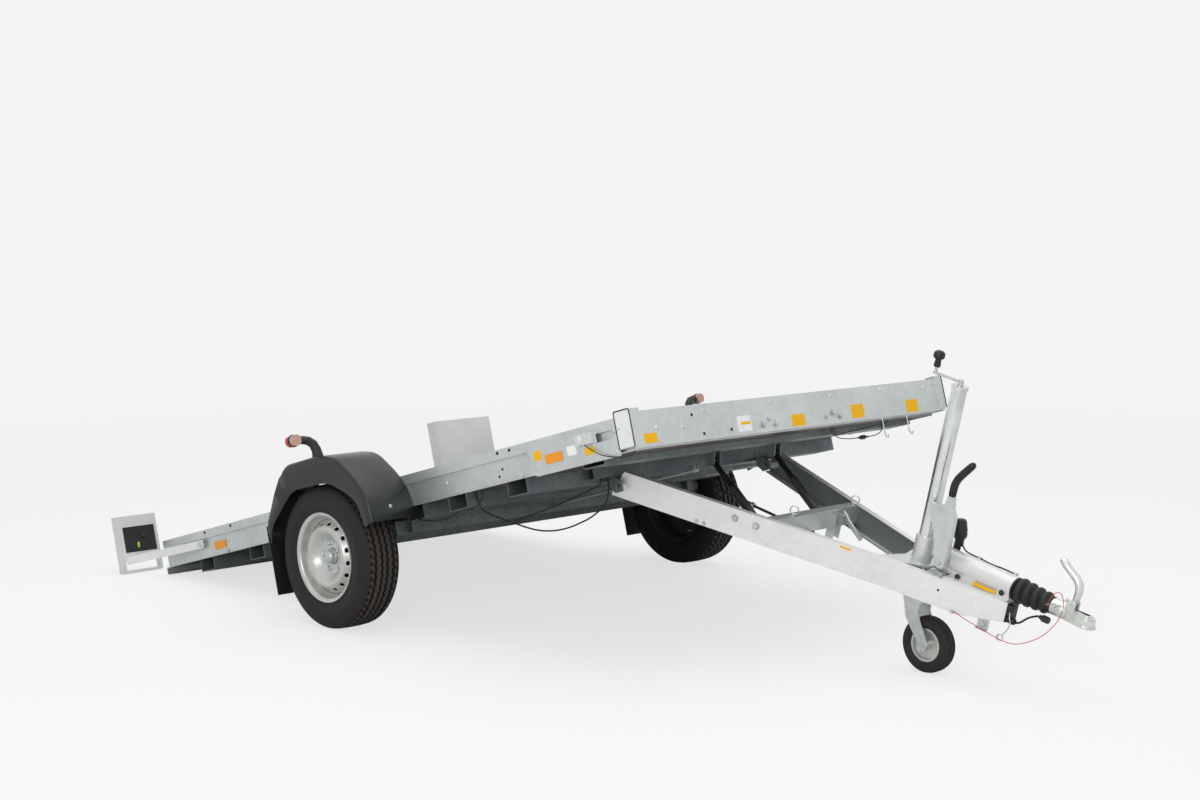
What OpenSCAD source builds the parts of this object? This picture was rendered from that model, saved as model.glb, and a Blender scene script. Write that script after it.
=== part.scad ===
// Tipping flat-bed trailer, bed tipped back with its tail edge on the ground.
// X runs forward to the coupling, Y to the left, Z up. The bed is drawn in its own
// frame at the wheel axis and tipped by tilt; the drawbar is drawn in its own frame
// at its hinge and slopes down by bar_slope.

/* [Wheels] */
// Outer diameter of the road tyre
tyre_d = 628; // [560:1:680]
// Width of the road tyre
tyre_w = 195; // [165:1:205]
// Diameter of the road rim over its flanges
rim_d = 390; // [340:1:400]
// Gap between the bed's side and the road tyre
wheel_gap = 17.5; // [14:0.5:30]
// Radius of the stub axle in the wheel hub
stub_r = 17; // [12:0.5:20]
// Running clearance between a pin and its bore
run_gap = 0.3; // [0.1:0.05:0.4]

/* [Bed] */
// Overall width of the bed over its side rails
bed_w = 1940; // [1860:1:1950]
// Wheel axis to the front face of the bed
bed_front = 1790; // [1700:1:1850]
// Wheel axis to the tail edge of the bed
bed_tail = 1640; // [1560:1:1680]
// Height of the bed's lowest tail edge over the wheel axis, bed level
tail_low = 105; // [90:1:120]
// Height of the rail's lower edge over the wheel axis
rail_low = 139; // [134:1:150]
// Height of the side rails
rail_h = 136; // [120:1:150]
// Thickness of the folded rail sheet
rail_t = 3; // [2:0.5:4]
// Thickness of the floor panel
floor_t = 15; // [9:1:21]
// Height of the floor's cross channels
cross_h = 60; // [50:1:62]
// Width of the floor's cross channels
cross_w = 120; // [90:1:130]

/* [Axle] */
// Across-corner radius of the hexagonal axle tube
axle_r = 60; // [50:1:64]
// Axle tube ahead of the wheel axis
axle_u = 170; // [160:1:190]
// Axle tube above the wheel axis
axle_w = 65; // [60:1:70]
// Thickness of the trailing arms
arm_t = 40; // [30:1:44]

/* [Fenders] */
// Gap between the tyre's outer side and the fender's skirt
fender_gap = 14; // [8:1:30]
// Wall of a fender
fender_t = 5; // [3:0.5:6]
// Reach of a marker lamp beyond the fender's outer face
lamp_reach = 62; // [50:1:80]

/* [Light boards] */
// Width of a light board
board_w = 230; // [180:1:260]
// Height of a light board
board_h = 285; // [240:1:300]
// Distance from the wheel axis back to the board
board_u = 1778; // [1760:1:1800]
// Depth of the board's folded rim
board_d = 30; // [20:1:40]

/* [Drawbar] */
// Hinge pin ahead of the wheel axis, measured along the bed
hinge_u = 1185; // [1170:1:1200]
// Hinge pin above the wheel axis, square to the bed
hinge_w = 48; // [44:1:54]
// Radius of the hinge pins
hinge_r = 10; // [8:0.5:12]
// Slope of the drawbar to the ground
bar_slope = 14.2; // [12:0.1:15]
// Depth of the drawbar channels
bar_h = 112; // [104:1:116]
// Height of the drawbar's top over its hinge pin
bar_top = 62; // [58:1:64]
// Sheet of the drawbar channels
bar_t = 4; // [3:0.5:5]
// Width of the drawbar channels' flanges
bar_flange = 29; // [24:1:30]
// Half width of the drawbar at its hinge
bar_rear = 485; // [460:1:490]
// Half width of the drawbar at its bend
bar_waist = 141; // [130:1:150]
// Half width of the drawbar at its front end
bar_nose = 36; // [34:1:40]
// Hinge to the bend of the drawbar channels
bar_bend = 1120; // [1050:1:1140]
// Hinge to the front end of the drawbar channels
bar_end = 1600; // [1560:1:1640]

/* [Coupling] */
// Radius of the sliding drawtube
tube_r = 25; // [22:0.5:26]
// Drawtube axis over the hinge pin, square to the drawbar
tube_q = 115; // [112:1:122]
// Hinge to the front of the bellows
bellows_end = 1764; // [1750:1:1790]
// Hinge to the centre of the ball socket
ball_p = 1907; // [1890:1:1930]
// Radius of the ball socket
ball_r = 25.4; // [25:0.1:26]

/* [Support wheel] */
// Hinge to the axis of the support wheel's column
column_p = 1167; // [1160:1:1175]
// Radius of the column's outer tube
column_r = 30; // [26:0.5:31]
// Radius of the column's inner tube
inner_r = 24; // [18:0.5:25]
// Top of the outer tube over the hinge pin
column_top = 755; // [650:1:800]
// Diameter of the support wheel
jockey_d = 220; // [180:1:230]
// Width of the support wheel
jockey_w = 65; // [50:1:68]
// Trail of the support wheel behind its column
jockey_trail = 118; // [90:1:125]

/* [Struts] */
// Distance of each strut from the middle of the trailer
strut_y = 190; // [170:1:210]
// Radius of a strut's cylinder
strut_r = 19; // [15:0.5:21]
// Radius of a strut's upper tube
rod_r = 12; // [9:0.5:13]

/* [Hidden] */
$fn = 48;

// Lay of the whole trailer.
wheel_r = tyre_d / 2;
tilt = asin(wheel_r / norm([bed_tail, tail_low])) + atan(tail_low / bed_tail);
hinge_x = hinge_u * cos(tilt) - hinge_w * sin(tilt);
hinge_z = wheel_r + hinge_u * sin(tilt) + hinge_w * cos(tilt);
board_gap = 1;
board_low = ((board_u + board_d) * sin(tilt) - wheel_r + board_gap) / cos(tilt);
board_top = board_low + board_h;
x_back = -(board_u + board_d) * cos(tilt) - board_top * sin(tilt);
nose_r = 38;
head_q = tube_q + 27;
x_nose = hinge_x + (ball_p + nose_r) * cos(bar_slope) + head_q * sin(bar_slope);
x_mid = (x_back + x_nose) / 2;

// Bed sizes that follow from the driving ones.
half_w = bed_w / 2;
rail_web = half_w - 16;
cap_h = 40;
floor_top = rail_low + floor_t;
cross_at = [-1286, -842, -400, 400, 690, 1075];
front_cross_u = 1535;
front_cross_h = 24;

// Wheel planes.
track = bed_w + 2 * wheel_gap + tyre_w;
wheel_y = track / 2;
tyre_in = wheel_y - tyre_w / 2;
fender_in = half_w;
fender_out = wheel_y + tyre_w / 2 + fender_gap + fender_t;

// Angles of the drawbar channels in plan, behind and ahead of their bend.
bar_yaw = atan((bar_rear - bar_waist) / bar_bend);
nose_yaw = atan((bar_waist - bar_nose) / (bar_end - bar_bend));
bar_low = bar_top - bar_h;

// Colours of the finishes.
zinc = [0.74, 0.77, 0.78];
zinc_dark = [0.52, 0.56, 0.57];
black = [0.09, 0.09, 0.1];
rubber = [0.06, 0.06, 0.06];
silver = [0.78, 0.79, 0.8];

module bed_frame() {
  translate([-x_mid, 0, wheel_r])
    rotate([0, -tilt, 0])
      children();
}

module bar_frame() {
  translate([hinge_x - x_mid, 0, hinge_z])
    rotate([0, bar_slope, 0])
      children();
}

// A left-hand shape, or its mirror image for the right-hand side.
module on_side(side) {
  mirror([0, side < 0 ? 1 : 0, 0])
    children();
}

module both_sides() {
  for (side = [-1, 1])
    on_side(side) children();
}

// A section drawn in Y and Z, run along X from x0 to x1.
module along_x(x0, x1) {
  translate([x0, 0, 0])
    rotate([90, 0, 90])
      linear_extrude(x1 - x0)
        children();
}

// An outline drawn in X and Z, run along Y from y0 to y1.
module along_y(y0, y1) {
  translate([0, y1, 0])
    rotate([90, 0, 0])
      linear_extrude(y1 - y0)
        children();
}

module box(x0, x1, y0, y1, z0, z1) {
  translate([x0, y0, z0])
    cube([x1 - x0, y1 - y0, z1 - z0]);
}

module disc_y(x, z, r, y0, y1) {
  translate([x, y1, z])
    rotate([90, 0, 0])
      cylinder(r = r, h = y1 - y0);
}

// Bed: rails, panel, posts and floor.
module side_rail(side) {
  color(zinc)
    bed_frame() on_side(side) {
      disc_y(-arm_u, arm_w, arm_pin_r, rail_web, half_w + 12);
      disc_y(-arm_u, arm_w, arm_pin_r + 6, half_w + 7, half_w + 12);
      along_x(-bed_tail, bed_front - rail_t)
        union() {
          difference() {
            translate([rail_web - 6, rail_low + rail_h - cap_h])
              square([half_w - rail_web + 6, cap_h]);
            translate([rail_web - 6 + rail_t, rail_low + rail_h - cap_h + rail_t])
              square([half_w - rail_web + 6 - 2 * rail_t, cap_h - 2 * rail_t]);
          }
          translate([rail_web - rail_t, rail_low])
            square([rail_t, rail_h - cap_h]);
          translate([rail_web - rail_t, rail_low])
            square([half_w - rail_web + rail_t, rail_t]);
        }
    }
}

module front_panel() {
  panel_low = rail_low + 5;
  panel_top = rail_low + rail_h + 9;
  lip_y = rail_web - rail_t;
  color(zinc)
    bed_frame()
    {
      box(bed_front - rail_t, bed_front, -half_w, half_w, panel_low, panel_top);
      box(bed_front - 6, bed_front, -half_w, half_w, panel_top - rail_t, panel_top);
      box(bed_front - 34, bed_front - 1, -lip_y, lip_y, panel_low, panel_low + rail_t);
      box(bed_front - 34, bed_front - 34 + rail_t, -lip_y, lip_y, panel_low - 5, panel_low + 1);
    }
}

// Corner posts, and the side plates that close the rails behind them.
side_rear = 1204;
side_low = rail_low - 8;
side_top = rail_low + rail_h - 28;
lamp_rear = bed_front - 302;
lamp_l = 100;
lamp_low = rail_low + 66;
module corner_posts() {
  post_low = rail_low + 13;
  post_top = rail_low + rail_h + 21;
  color(silver)
    bed_frame() both_sides() {
      box(bed_front - 80, bed_front + 4, half_w, half_w + 4, post_low, post_top);
      box(bed_front, bed_front + 4, half_w - 50, half_w + 4, post_low, post_top);
      along_y(half_w, half_w + rail_t)
        difference() {
          polygon([
            [side_rear + 26, side_low], [bed_front - 80, side_low], [bed_front - 80, side_top],
            [side_rear - 28, side_top], [side_rear, side_top - 30], [side_rear, side_low + 26],
            [side_rear + 8, side_low + 8]
          ]);
          translate([lamp_rear + lamp_l + 4, lamp_low - 4])
            square([96, 48]);
        }
    }
}

module floor_panel() {
  color([0.2, 0.17, 0.15])
    bed_frame()
      box(-bed_tail + 42, bed_front - 34, -rail_web + rail_t, rail_web - rail_t,
          rail_low, floor_top);
}

module tail_beam() {
  color(zinc_dark)
    bed_frame()
      along_y(-half_w, half_w)
        difference() {
          translate([-bed_tail, tail_low])
            square([42, rail_low - tail_low]);
          translate([-bed_tail + rail_t, tail_low + rail_t])
            square([42, rail_low - tail_low - 2 * rail_t]);
        }
}

// A pressed channel, open to the floor above it.
module cross_section(w, h) {
  difference() {
    translate([-w / 2, rail_low - h])
      square([w, h]);
    translate([-w / 2 + rail_t, rail_low - h + rail_t])
      square([w - 2 * rail_t, h]);
  }
}

module cross_channels() {
  color(zinc_dark)
    bed_frame() {
      for (u = cross_at)
        translate([u, 0, 0])
          along_y(-rail_web, rail_web)
            cross_section(cross_w, cross_h);
      translate([front_cross_u, 0, 0])
        along_y(-rail_web, rail_web)
          cross_section(cross_w, front_cross_h);
    }
}

// Plates that hold the struts' upper eyes, hung from the floor and the front channel.
module strut_brackets() {
  channel = front_cross_u - cross_w / 2;
  color(zinc_dark)
    bed_frame() both_sides()
      for (y = [strut_y - eye_r - run_gap - lug_t, strut_y + eye_r + run_gap])
        along_y(y, y + lug_t)
          polygon([
            [strut_top_u - 24, rail_low], [strut_top_u - 18, strut_top_w - 16],
            [strut_top_u + 18, strut_top_w - 16], [channel, rail_low - 16], [channel, rail_low]
          ]);
}

// Beam across the bed with fork plates for the drawbar pins, and the pins in them.
plate_t = 6;
plate_in = bar_rear - 79;
plate_out = bar_rear + 21;
module hinge_beam() {
  beam_u = hinge_u - 49;
  beam_front = beam_u + 34;
  beam_low = rail_low - 44;
  color(zinc)
    bed_frame() {
      along_y(-620, 620)
        difference() {
          translate([beam_u, beam_low])
            square([beam_front - beam_u, rail_low - beam_low]);
          translate([beam_u + rail_t, beam_low + rail_t])
            square([beam_front - beam_u - 2 * rail_t, rail_low - beam_low - 2 * rail_t]);
        }
      both_sides() {
        for (y = [plate_in, plate_out])
          along_y(y, y + plate_t)
            polygon([
              [beam_u, beam_low], [beam_front, beam_low], [hinge_u + 24, hinge_w + 20],
              [hinge_u + 22, hinge_w - 20], [hinge_u - 22, hinge_w - 22], [beam_u, beam_low - 40]
            ]);
        disc_y(hinge_u, hinge_w, hinge_r, plate_in - 12, plate_out + plate_t + 10);
      }
    }
}

// Six-sided axle tube, hung from the floor by a plate near each end.
arm_in = tyre_in - arm_t - 12;
module axle() {
  color(zinc)
    bed_frame() {
      translate([axle_u, 0, axle_w])
        rotate([90, 30, 0])
          cylinder(r = axle_r, h = 2 * arm_in, center = true, $fn = 6);
      both_sides()
        along_y(arm_in - 75, arm_in - 67)
          polygon([
            [axle_u - 95, rail_low], [axle_u - 80, axle_w - 26], [axle_u + 80, axle_w - 26],
            [axle_u + 95, rail_low]
          ]);
    }
}

module trailing_arms() {
  color(zinc_dark)
    bed_frame() both_sides() {
      along_y(arm_in, arm_in + arm_t)
        union() {
          translate([axle_u, axle_w]) circle(r = 45);
          circle(r = 42);
          polygon([[0, -36], [0, 42], [axle_u, axle_w + 45], [axle_u + 20, axle_w - 40]]);
        }
      disc_y(0, 0, stub_r + 12, arm_in + arm_t, tyre_in + 22);
      disc_y(0, 0, stub_r, tyre_in + 22, wheel_y + 40);
    }
}

// Fender: a faceted arch with an outer skirt.
arch_top = 430;
arch = [
  [-358, 120], [-358, 200], [-225, 351], [-150, arch_top], [110, arch_top], [232, 402],
  [350, 290], [402, 212], [418, 96]
];
arch_skirt = [26, 46, 92, 122, 122, 118, 84, 66, 56];
function inward(p, t) = p * (1 - t / norm(p));
function reverse(list) = [for (i = [len(list) - 1:-1:0]) list[i]];

module fender(side) {
  last = len(arch) - 1;
  skirt = [for (i = [0:last]) inward(arch[i], arch_skirt[i])];
  hollow = [for (p = arch) inward(p, fender_t)];
  color(black)
    bed_frame() on_side(side)
      difference() {
        along_y(fender_in, fender_out)
          polygon(concat(arch, reverse(skirt)));
        along_y(fender_in - 1, fender_out - fender_t)
          polygon(concat(
            [[0, 0], 1.2 * hollow[0] - 0.2 * hollow[1]], hollow,
            [1.2 * hollow[last] - 0.2 * hollow[last - 1]]
          ));
      }
}

flap_t = 5;
flap_low = -118;
flap_top = 190;
module mud_flaps() {
  color(rubber)
    bed_frame() both_sides()
      box(arch[0][0] - flap_t, arch[0][0], fender_in + 14, fender_out - 6, flap_low, flap_top);
}

marker_u = 52;
marker_bend = 46;
marker_r = 16;
marker_foot = 34;
lens_r = 24;
marker_w = arch_top + marker_foot + marker_bend;
module marker_arms() {
  foot_y = fender_out - 30;
  color(rubber)
    bed_frame() both_sides() {
      translate([marker_u, foot_y, arch_top])
        cylinder(r = marker_r, h = marker_foot);
      translate([marker_u, foot_y + marker_bend, arch_top + marker_foot])
        rotate([0, 0, 180])
          rotate([90, 0, 90])
            rotate_extrude(angle = 90, convexity = 2)
              translate([marker_bend, 0])
                circle(r = marker_r);
      disc_y(marker_u, marker_w, marker_r, foot_y + marker_bend,
             fender_out + lamp_reach - lens_r);
      disc_x(marker_u - 5, marker_u + 5, fender_out + lamp_reach, marker_w, lens_r + 3);
    }
}

module disc_x(x0, x1, y, z, r) {
  translate([x0, y, z])
    rotate([0, 90, 0])
      cylinder(r = r, h = x1 - x0);
}

module marker_lenses_white() {
  color("white")
    bed_frame() both_sides()
      disc_x(marker_u + 5, marker_u + 27, fender_out + lamp_reach, marker_w, lens_r);
}

module marker_lenses_red() {
  color([0.8, 0.15, 0.05])
    bed_frame() both_sides()
      disc_x(marker_u - 27, marker_u - 5, fender_out + lamp_reach, marker_w, lens_r);
}

module front_lamps() {
  color("white")
    bed_frame() both_sides()
      box(lamp_rear, lamp_rear + lamp_l, half_w + rail_t, half_w + 22, lamp_low, lamp_low + 42);
}

reflector_l = 92;
reflector_rear = 500 - bed_tail;
reflector_front = bed_front - 448;
module side_reflectors() {
  color("orange")
    bed_frame() both_sides()
      for (place = [[reflector_rear, rail_web], [reflector_front, half_w + rail_t]])
        box(place[0] - reflector_l / 2, place[0] + reflector_l / 2, place[1], place[1] + 7,
            rail_low + 30, rail_low + 66);
}

stop_u = -335;
stop_half = 172;
stop_h = 424;
module stop_plate() {
  color([0.83, 0.84, 0.84])
    bed_frame()
      translate([stop_u, 0, floor_top]) {
        box(-rail_t, 0, -stop_half, stop_half, 0, stop_h);
        both_sides()
          box(-60, -rail_t, stop_half - rail_t, stop_half, 0, stop_h);
        box(-63, 0, rail_t - stop_half, stop_half - rail_t, 0, rail_t);
      }
}

// Road wheels: the axis runs along Y, with the outer face on the +Y side.
module tyre(side) {
  h = tyre_w / 2;
  bead = rim_d / 2 - 12;
  color(rubber)
    at_wheel(side)
      rotate_extrude($fn = 96)
        polygon([
          [bead, -h + 16], [bead + 13, -h + 13], [bead + 24, -h + 9], [bead + 62, -h], [wheel_r - 22, -h + 9],
          [wheel_r - 4, -h + 22],
          [wheel_r, -38], [wheel_r - 8, -36], [wheel_r - 8, -30], [wheel_r, -28],
          [wheel_r, -5], [wheel_r - 8, -3], [wheel_r - 8, 3], [wheel_r, 5],
          [wheel_r, 28], [wheel_r - 8, 30], [wheel_r - 8, 36], [wheel_r, 38],
          [wheel_r - 4, h - 22],
          [wheel_r - 22, h - 9], [bead + 62, h], [bead + 24, h - 9],
          [bead + 13, h - 13], [bead, h - 16]
        ]);
}

module at_wheel(side) {
  bed_frame() on_side(side)
    translate([0, wheel_y, 0])
      rotate([-90, 0, 0])
        children();
}

module rim(side) {
  r = rim_d / 2;
  h = tyre_w / 2;
  slots = 16;
  color(silver)
    at_wheel(side)
      difference() {
        union() {
          rotate_extrude($fn = 96)
            polygon([
              [r, -h + 6], [r, -h + 13], [r - 12, -h + 15], [r - 12, -h + 34], [r - 26, -h + 50],
              [r - 26, h - 44], [r - 12, h - 32], [r - 12, h - 15], [r, h - 13], [r, h - 6],
              [r - 5, h - 6], [r - 18, h - 14], [r - 20, h - 34], [r - 32, h - 48],
              [r - 32, -h + 52], [r - 20, -h + 36], [r - 18, -h + 8], [r - 5, -h + 6]
            ]);
          rotate_extrude($fn = 96)
            polygon([
              [stub_r + run_gap, -20], [52, -20], [52, 18], [64, 26], [92, 30], [120, 20],
              [142, 18], [r - 30, 26], [r - 26, 36], [r - 32, 36], [r - 38, 33], [142, 24],
              [122, 26], [96, 38], [62, 34], [34, 34], [34, 60], [26, 70], [0, 74], [0, 42],
              [stub_r + run_gap, 42]
            ]);
        }
        for (i = [0:slots - 1])
          rotate([0, 0, i * 360 / slots])
            translate([r - 56, 0, 0])
              linear_extrude(60)
                square([9, 18], center = true);
      }
}

// Light boards, each on a flat arm that lifts it clear of the ground.
arm_u = 1290;
arm_w = 210;
arm_pin_r = 8;
module board_arm(side) {
  color(silver)
    bed_frame() on_side(side)
      difference() {
        translate([0, 0, arm_w - 20])
          linear_extrude(40)
            polygon([
              [-arm_u + 22, half_w + 1], [-arm_u + 22, half_w + 6], [-arm_u - 20, half_w + 6],
              [-board_u + 2, half_w + 134], [-board_u, half_w + 134],
              [-board_u, half_w + 128], [-arm_u - 20, half_w + 1]
            ]);
        disc_y(-arm_u, arm_w, arm_pin_r + run_gap, half_w - 5, half_w + 30);
      }
}

module light_board(side) {
  y0 = half_w - 62;
  y1 = y0 + board_w;
  color([0.82, 0.83, 0.83])
    bed_frame() on_side(side)
      difference() {
        box(-board_u - board_d, -board_u, y0, y1, board_low, board_top);
        box(-board_u - board_d - 1, -board_u - 3, y0 + 3, y1 - 3, board_low + 60, board_top - 3);
        box(-board_u - 4, -board_u + 1, y0 + 16, y1 - 36, board_low + 100, board_top - 56);
        box(-board_u - board_d - 1, -board_u + 1, y0 + 16, y1 - 26, board_low + 12, board_low + 56);
      }
}

module tail_lamp(side) {
  y0 = half_w - 62;
  y1 = y0 + board_w;
  color(black)
    bed_frame() on_side(side)
      box(-board_u - board_d, -board_u - 3, y0 + 16, y1 - 36, board_low + 100, board_top - 56);
}

// Drawbar: two channels that lean together, less so ahead of their bend, with the
// underside of the nose cut up to the front.
bar_back = 42;
boss_r = hinge_r + 6;
nose_cut = 1420;
nose_low = -14;
function bar_half(p) =
  p < bar_bend ? bar_rear - p * tan(bar_yaw) : bar_waist - (p - bar_bend) * tan(nose_yaw);
function bar_line(d) =
  let (mean = (bar_yaw + nose_yaw) / 2, reach = d / cos((bar_yaw - nose_yaw) / 2)) [
    [-bar_back, bar_half(-bar_back) - d / cos(bar_yaw)],
    [bar_bend - reach * sin(mean), bar_waist - reach * cos(mean)],
    [bar_end, bar_nose - d / cos(nose_yaw)]
  ];

// The run between two lines at depths d0 and d1 inside the outer face.
module bar_strip(d0, d1) {
  translate([0, 0, bar_low])
    linear_extrude(bar_h)
      polygon(concat(bar_line(d0), reverse(bar_line(d1))));
}

// Side view of a channel, shrunk by t at its top and underside.
module bar_side(t) {
  along_y(0, bar_rear + 60)
    polygon([
      [-4, bar_top - t], [-29, bar_low + 44], [-bar_back, bar_low + t], [nose_cut, bar_low + t],
      [bar_end, nose_low + t], [bar_end, bar_top - t]
    ]);
}

module drawbar_beam(side) {
  color(silver)
    bar_frame() on_side(side)
      difference() {
        intersection() {
          bar_strip(0, bar_flange);
          bar_side(0);
        }
        intersection() {
          bar_strip(bar_t, bar_flange + 1);
          scale([1.1, 1, 1]) bar_side(bar_t);
        }
        disc_y(0, 0, boss_r, bar_rear - 40, bar_rear + 40);
      }
}

module hinge_bosses() {
  color(zinc)
    bar_frame() both_sides()
      difference() {
        disc_y(0, 0, boss_r, plate_in + plate_t + run_gap, plate_out - run_gap);
        disc_y(0, 0, hinge_r + run_gap, plate_in, plate_out + 1);
      }
}

cross_low = -20;
cross_p = 592;
cross_t = 40;
latch_p = cross_p + cross_t + 30;
latch_q = 40;
latch_pin_r = 6;
function bar_inner(p) = bar_half(p) - bar_t / cos(bar_yaw);

// Pressed cross-member with the struts' lower lugs and the latch's bracket.
module drawbar_cross() {
  top = bar_top - bar_t;
  front = cross_p + cross_t;
  color(zinc)
    bar_frame() {
      difference() {
        translate([0, 0, cross_low])
          linear_extrude(top - cross_low)
            polygon([
              [cross_p, bar_inner(cross_p)], [front, bar_inner(front)],
              [front, -bar_inner(front)], [cross_p, -bar_inner(cross_p)]
            ]);
        box(cross_p - 1, front - 4, -bar_rear, bar_rear, cross_low + 4, top - 4);
      }
      both_sides()
        for (y = [strut_y - strut_r - run_gap - lug_t, strut_y + strut_r + run_gap])
          along_y(y, y + lug_t)
            difference() {
              polygon([
                [strut_p - 18, strut_q - 18], [strut_p + 18, strut_q - 18], [front, cross_low],
                [cross_p, cross_low], [strut_p - 18, strut_q + 18]
              ]);
              translate([strut_p, strut_q])
                circle(r = lug_pin_r + run_gap);
            }
      box(front, front + 4, 60, 160, cross_low + 4, top - 2);
      for (y = [80, 120])
        box(front + 4, front + 42, y, y + 4, -52, top - 6);
      disc_y(latch_p, latch_q, latch_pin_r, 124, 156);
    }
}

// Struts: a cylinder on the drawbar and a tube that runs out to the bed.
strut_p = 545;
strut_q = -40;
strut_top_u = 1436;
strut_top_w = 84;
eye_r = 16;
lug_t = 6;
lug_pin_r = 8;
function bed_to_bar(u, w) = [
  (u - hinge_u) * cos(tilt + bar_slope) - (w - hinge_w) * sin(tilt + bar_slope),
  (u - hinge_u) * sin(tilt + bar_slope) + (w - hinge_w) * cos(tilt + bar_slope)
];
strut_end = bed_to_bar(strut_top_u, strut_top_w);
strut_run = strut_end - [strut_p, strut_q];
strut_len = norm(strut_run);
strut_lean = atan2(strut_run[0], strut_run[1]);

module strut_frame() {
  bar_frame() both_sides()
    translate([strut_p, strut_y, strut_q])
      rotate([0, strut_lean, 0])
        children();
}

module strut_barrels() {
  color(black)
    strut_frame() {
      difference() {
        union() {
          translate([0, 0, 24])
            cylinder(r = strut_r, h = 222);
          disc_y(0, 0, eye_r, -strut_r, strut_r);
          box(-9, 9, -12, 12, 8, 26);
        }
        translate([0, 0, 30])
          cylinder(r = rod_r + run_gap, h = 300);
      }
      disc_y(0, 0, lug_pin_r, -strut_r - lug_t - 3, strut_r + lug_t + 3);
    }
}

module strut_rods() {
  color([0.2, 0.2, 0.21])
    strut_frame() {
      translate([0, 0, 150])
        cylinder(r = rod_r, h = strut_len - 160);
      disc_y(0, strut_len, eye_r, -16, 16);
    }
}

// Latch that locks the bed down on the drawbar.
module latch_lever() {
  color(silver)
    bar_frame()
      translate([latch_p, 0, latch_q])
        rotate([0, 32, 0])
          difference() {
            along_y(140, 152)
              polygon([
                [-14, -14], [10, -14], [26, -8], [126, -7], [126, 7], [26, 8], [10, 14], [-14, 14]
              ]);
            disc_y(0, 0, latch_pin_r + run_gap, 130, 160);
          }
}

// Overrun device and coupling.
housing_rear = column_p + 97;
housing_front = bar_end - 2;
foot_rear = housing_rear + 70;
foot_front = housing_front - 8;
foot_edge = 8;
module overrun_housing() {
  color(silver)
    bar_frame()
      difference() {
        union() {
          along_x(housing_rear, housing_front)
            union() {
              translate([0, tube_q]) circle(r = tube_r + 19);
              translate([-tube_r - 12, bar_top + 10])
                square([2 * tube_r + 24, tube_q - bar_top - 10]);
            }
          translate([0, 0, bar_top])
            linear_extrude(10)
              polygon([
                [foot_rear, bar_half(foot_rear) - foot_edge],
                [foot_front, bar_half(foot_front) - foot_edge],
                [foot_front, foot_edge - bar_half(foot_front)],
                [foot_rear, foot_edge - bar_half(foot_rear)]
              ]);
          disc_y(brake_p, brake_q, brake_pin_r, brake_y - 6, -tube_r);
        }
        translate([housing_rear - 1, 0, tube_q])
          rotate([0, 90, 0])
            cylinder(r = tube_r + run_gap, h = housing_front - housing_rear + 2);
      }
}

module drawtube() {
  color(silver)
    bar_frame()
      translate([housing_rear + 46, 0, tube_q])
        rotate([0, 90, 0])
          cylinder(r = tube_r, h = bellows_end + 10 - housing_rear - 46);
}

module bellows() {
  len_b = bellows_end - housing_front;
  lobe = len_b / 4;
  color(rubber)
    bar_frame()
      translate([housing_front, 0, tube_q])
        rotate([0, 90, 0])
          rotate_extrude()
            polygon(concat(
              [[tube_r + 1, 0], [tube_r + 17, 0]],
              [for (i = [0:3]) each [
                [50 - 3 * i, lobe * (i + 0.3)], [50 - 3 * i, lobe * (i + 0.6)],
                [38 - 2 * i, lobe * (i + 0.85)], [38 - 2 * i, lobe * (i + 0.98)]
              ]],
              [[tube_r + 1, len_b]]
            ));
}

module coupling_head() {
  color(silver)
    bar_frame()
      difference() {
        union() {
          translate([bellows_end + 0.5, 0, tube_q])
            rotate([0, 90, 0])
              cylinder(r = tube_r + 6, h = 70);
          translate([0, 0, tube_q - 27])
            linear_extrude(54)
              union() {
                polygon([
                  [bellows_end + 45, -25], [ball_p - 20, -nose_r + 6], [ball_p, -nose_r],
                  [ball_p, nose_r], [ball_p - 20, nose_r - 6], [bellows_end + 45, 25]
                ]);
                translate([ball_p, 0]) circle(r = nose_r);
              }
          translate([ball_p, 0, tube_q + 27])
            cylinder(r1 = nose_r, r2 = 20, h = 8);
          for (y = [-19, 13.5])
            along_y(y, y + 5.5)
              polygon([
                [handle_p - 26, tube_q + 20], [handle_p + 26, tube_q + 20],
                [handle_p + 9, handle_q + 9], [handle_p - 9, handle_q + 9]
              ]);
          disc_y(handle_p, handle_q, handle_pin_r, -22, 22);
        }
        translate([bellows_end - 10, 0, tube_q])
          rotate([0, 90, 0])
            cylinder(r = tube_r, h = 20);
        translate([ball_p, 0, tube_q - 28])
          rotate_extrude()
            polygon(concat(
              [[0, 0], [ball_r, 0]],
              [for (a = [0:10:80]) [ball_r * cos(a), 26 + ball_r * sin(a)]],
              [[0, 26 + ball_r]]
            ));
      }
}

handle_p = ball_p - 65;
handle_q = 158;
handle_pin_r = 5;
module coupling_handle() {
  color(silver)
    bar_frame()
      difference() {
        along_y(-13, 13)
          polygon([
            [handle_p - 12, handle_q - 8], [handle_p + 12, handle_q - 8], [handle_p + 18, 200],
            [handle_p + 12, 240], [handle_p - 20, 262], [handle_p - 84, 300],
            [handle_p - 102, 286], [handle_p - 96, 268], [handle_p - 40, 240],
            [handle_p - 12, 222], [handle_p - 8, 200]
          ]);
        disc_y(handle_p, handle_q, handle_pin_r + run_gap, -14, 14);
      }
}

// Hand brake, pivoted on the side of the overrun housing.
brake_y = -73;
brake_w = 22;
brake_p = housing_rear + 28;
brake_q = 112;
brake_pin_r = 8;
lever_top = 260;
grip_r = 15;
module brake_foot() {
  seat = bar_half(brake_p) - 12;
  color(zinc)
    bar_frame() {
      along_y(brake_y, brake_y + brake_w)
        polygon([
          [brake_p - 34, bar_top], [brake_p + 32, bar_top], [brake_p + 28, bar_top + 14],
          [brake_p - 28, bar_top + 14]
        ]);
      box(brake_p - 34, brake_p + 32, -seat, brake_y, bar_top, bar_top + 6);
    }
}

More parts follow.
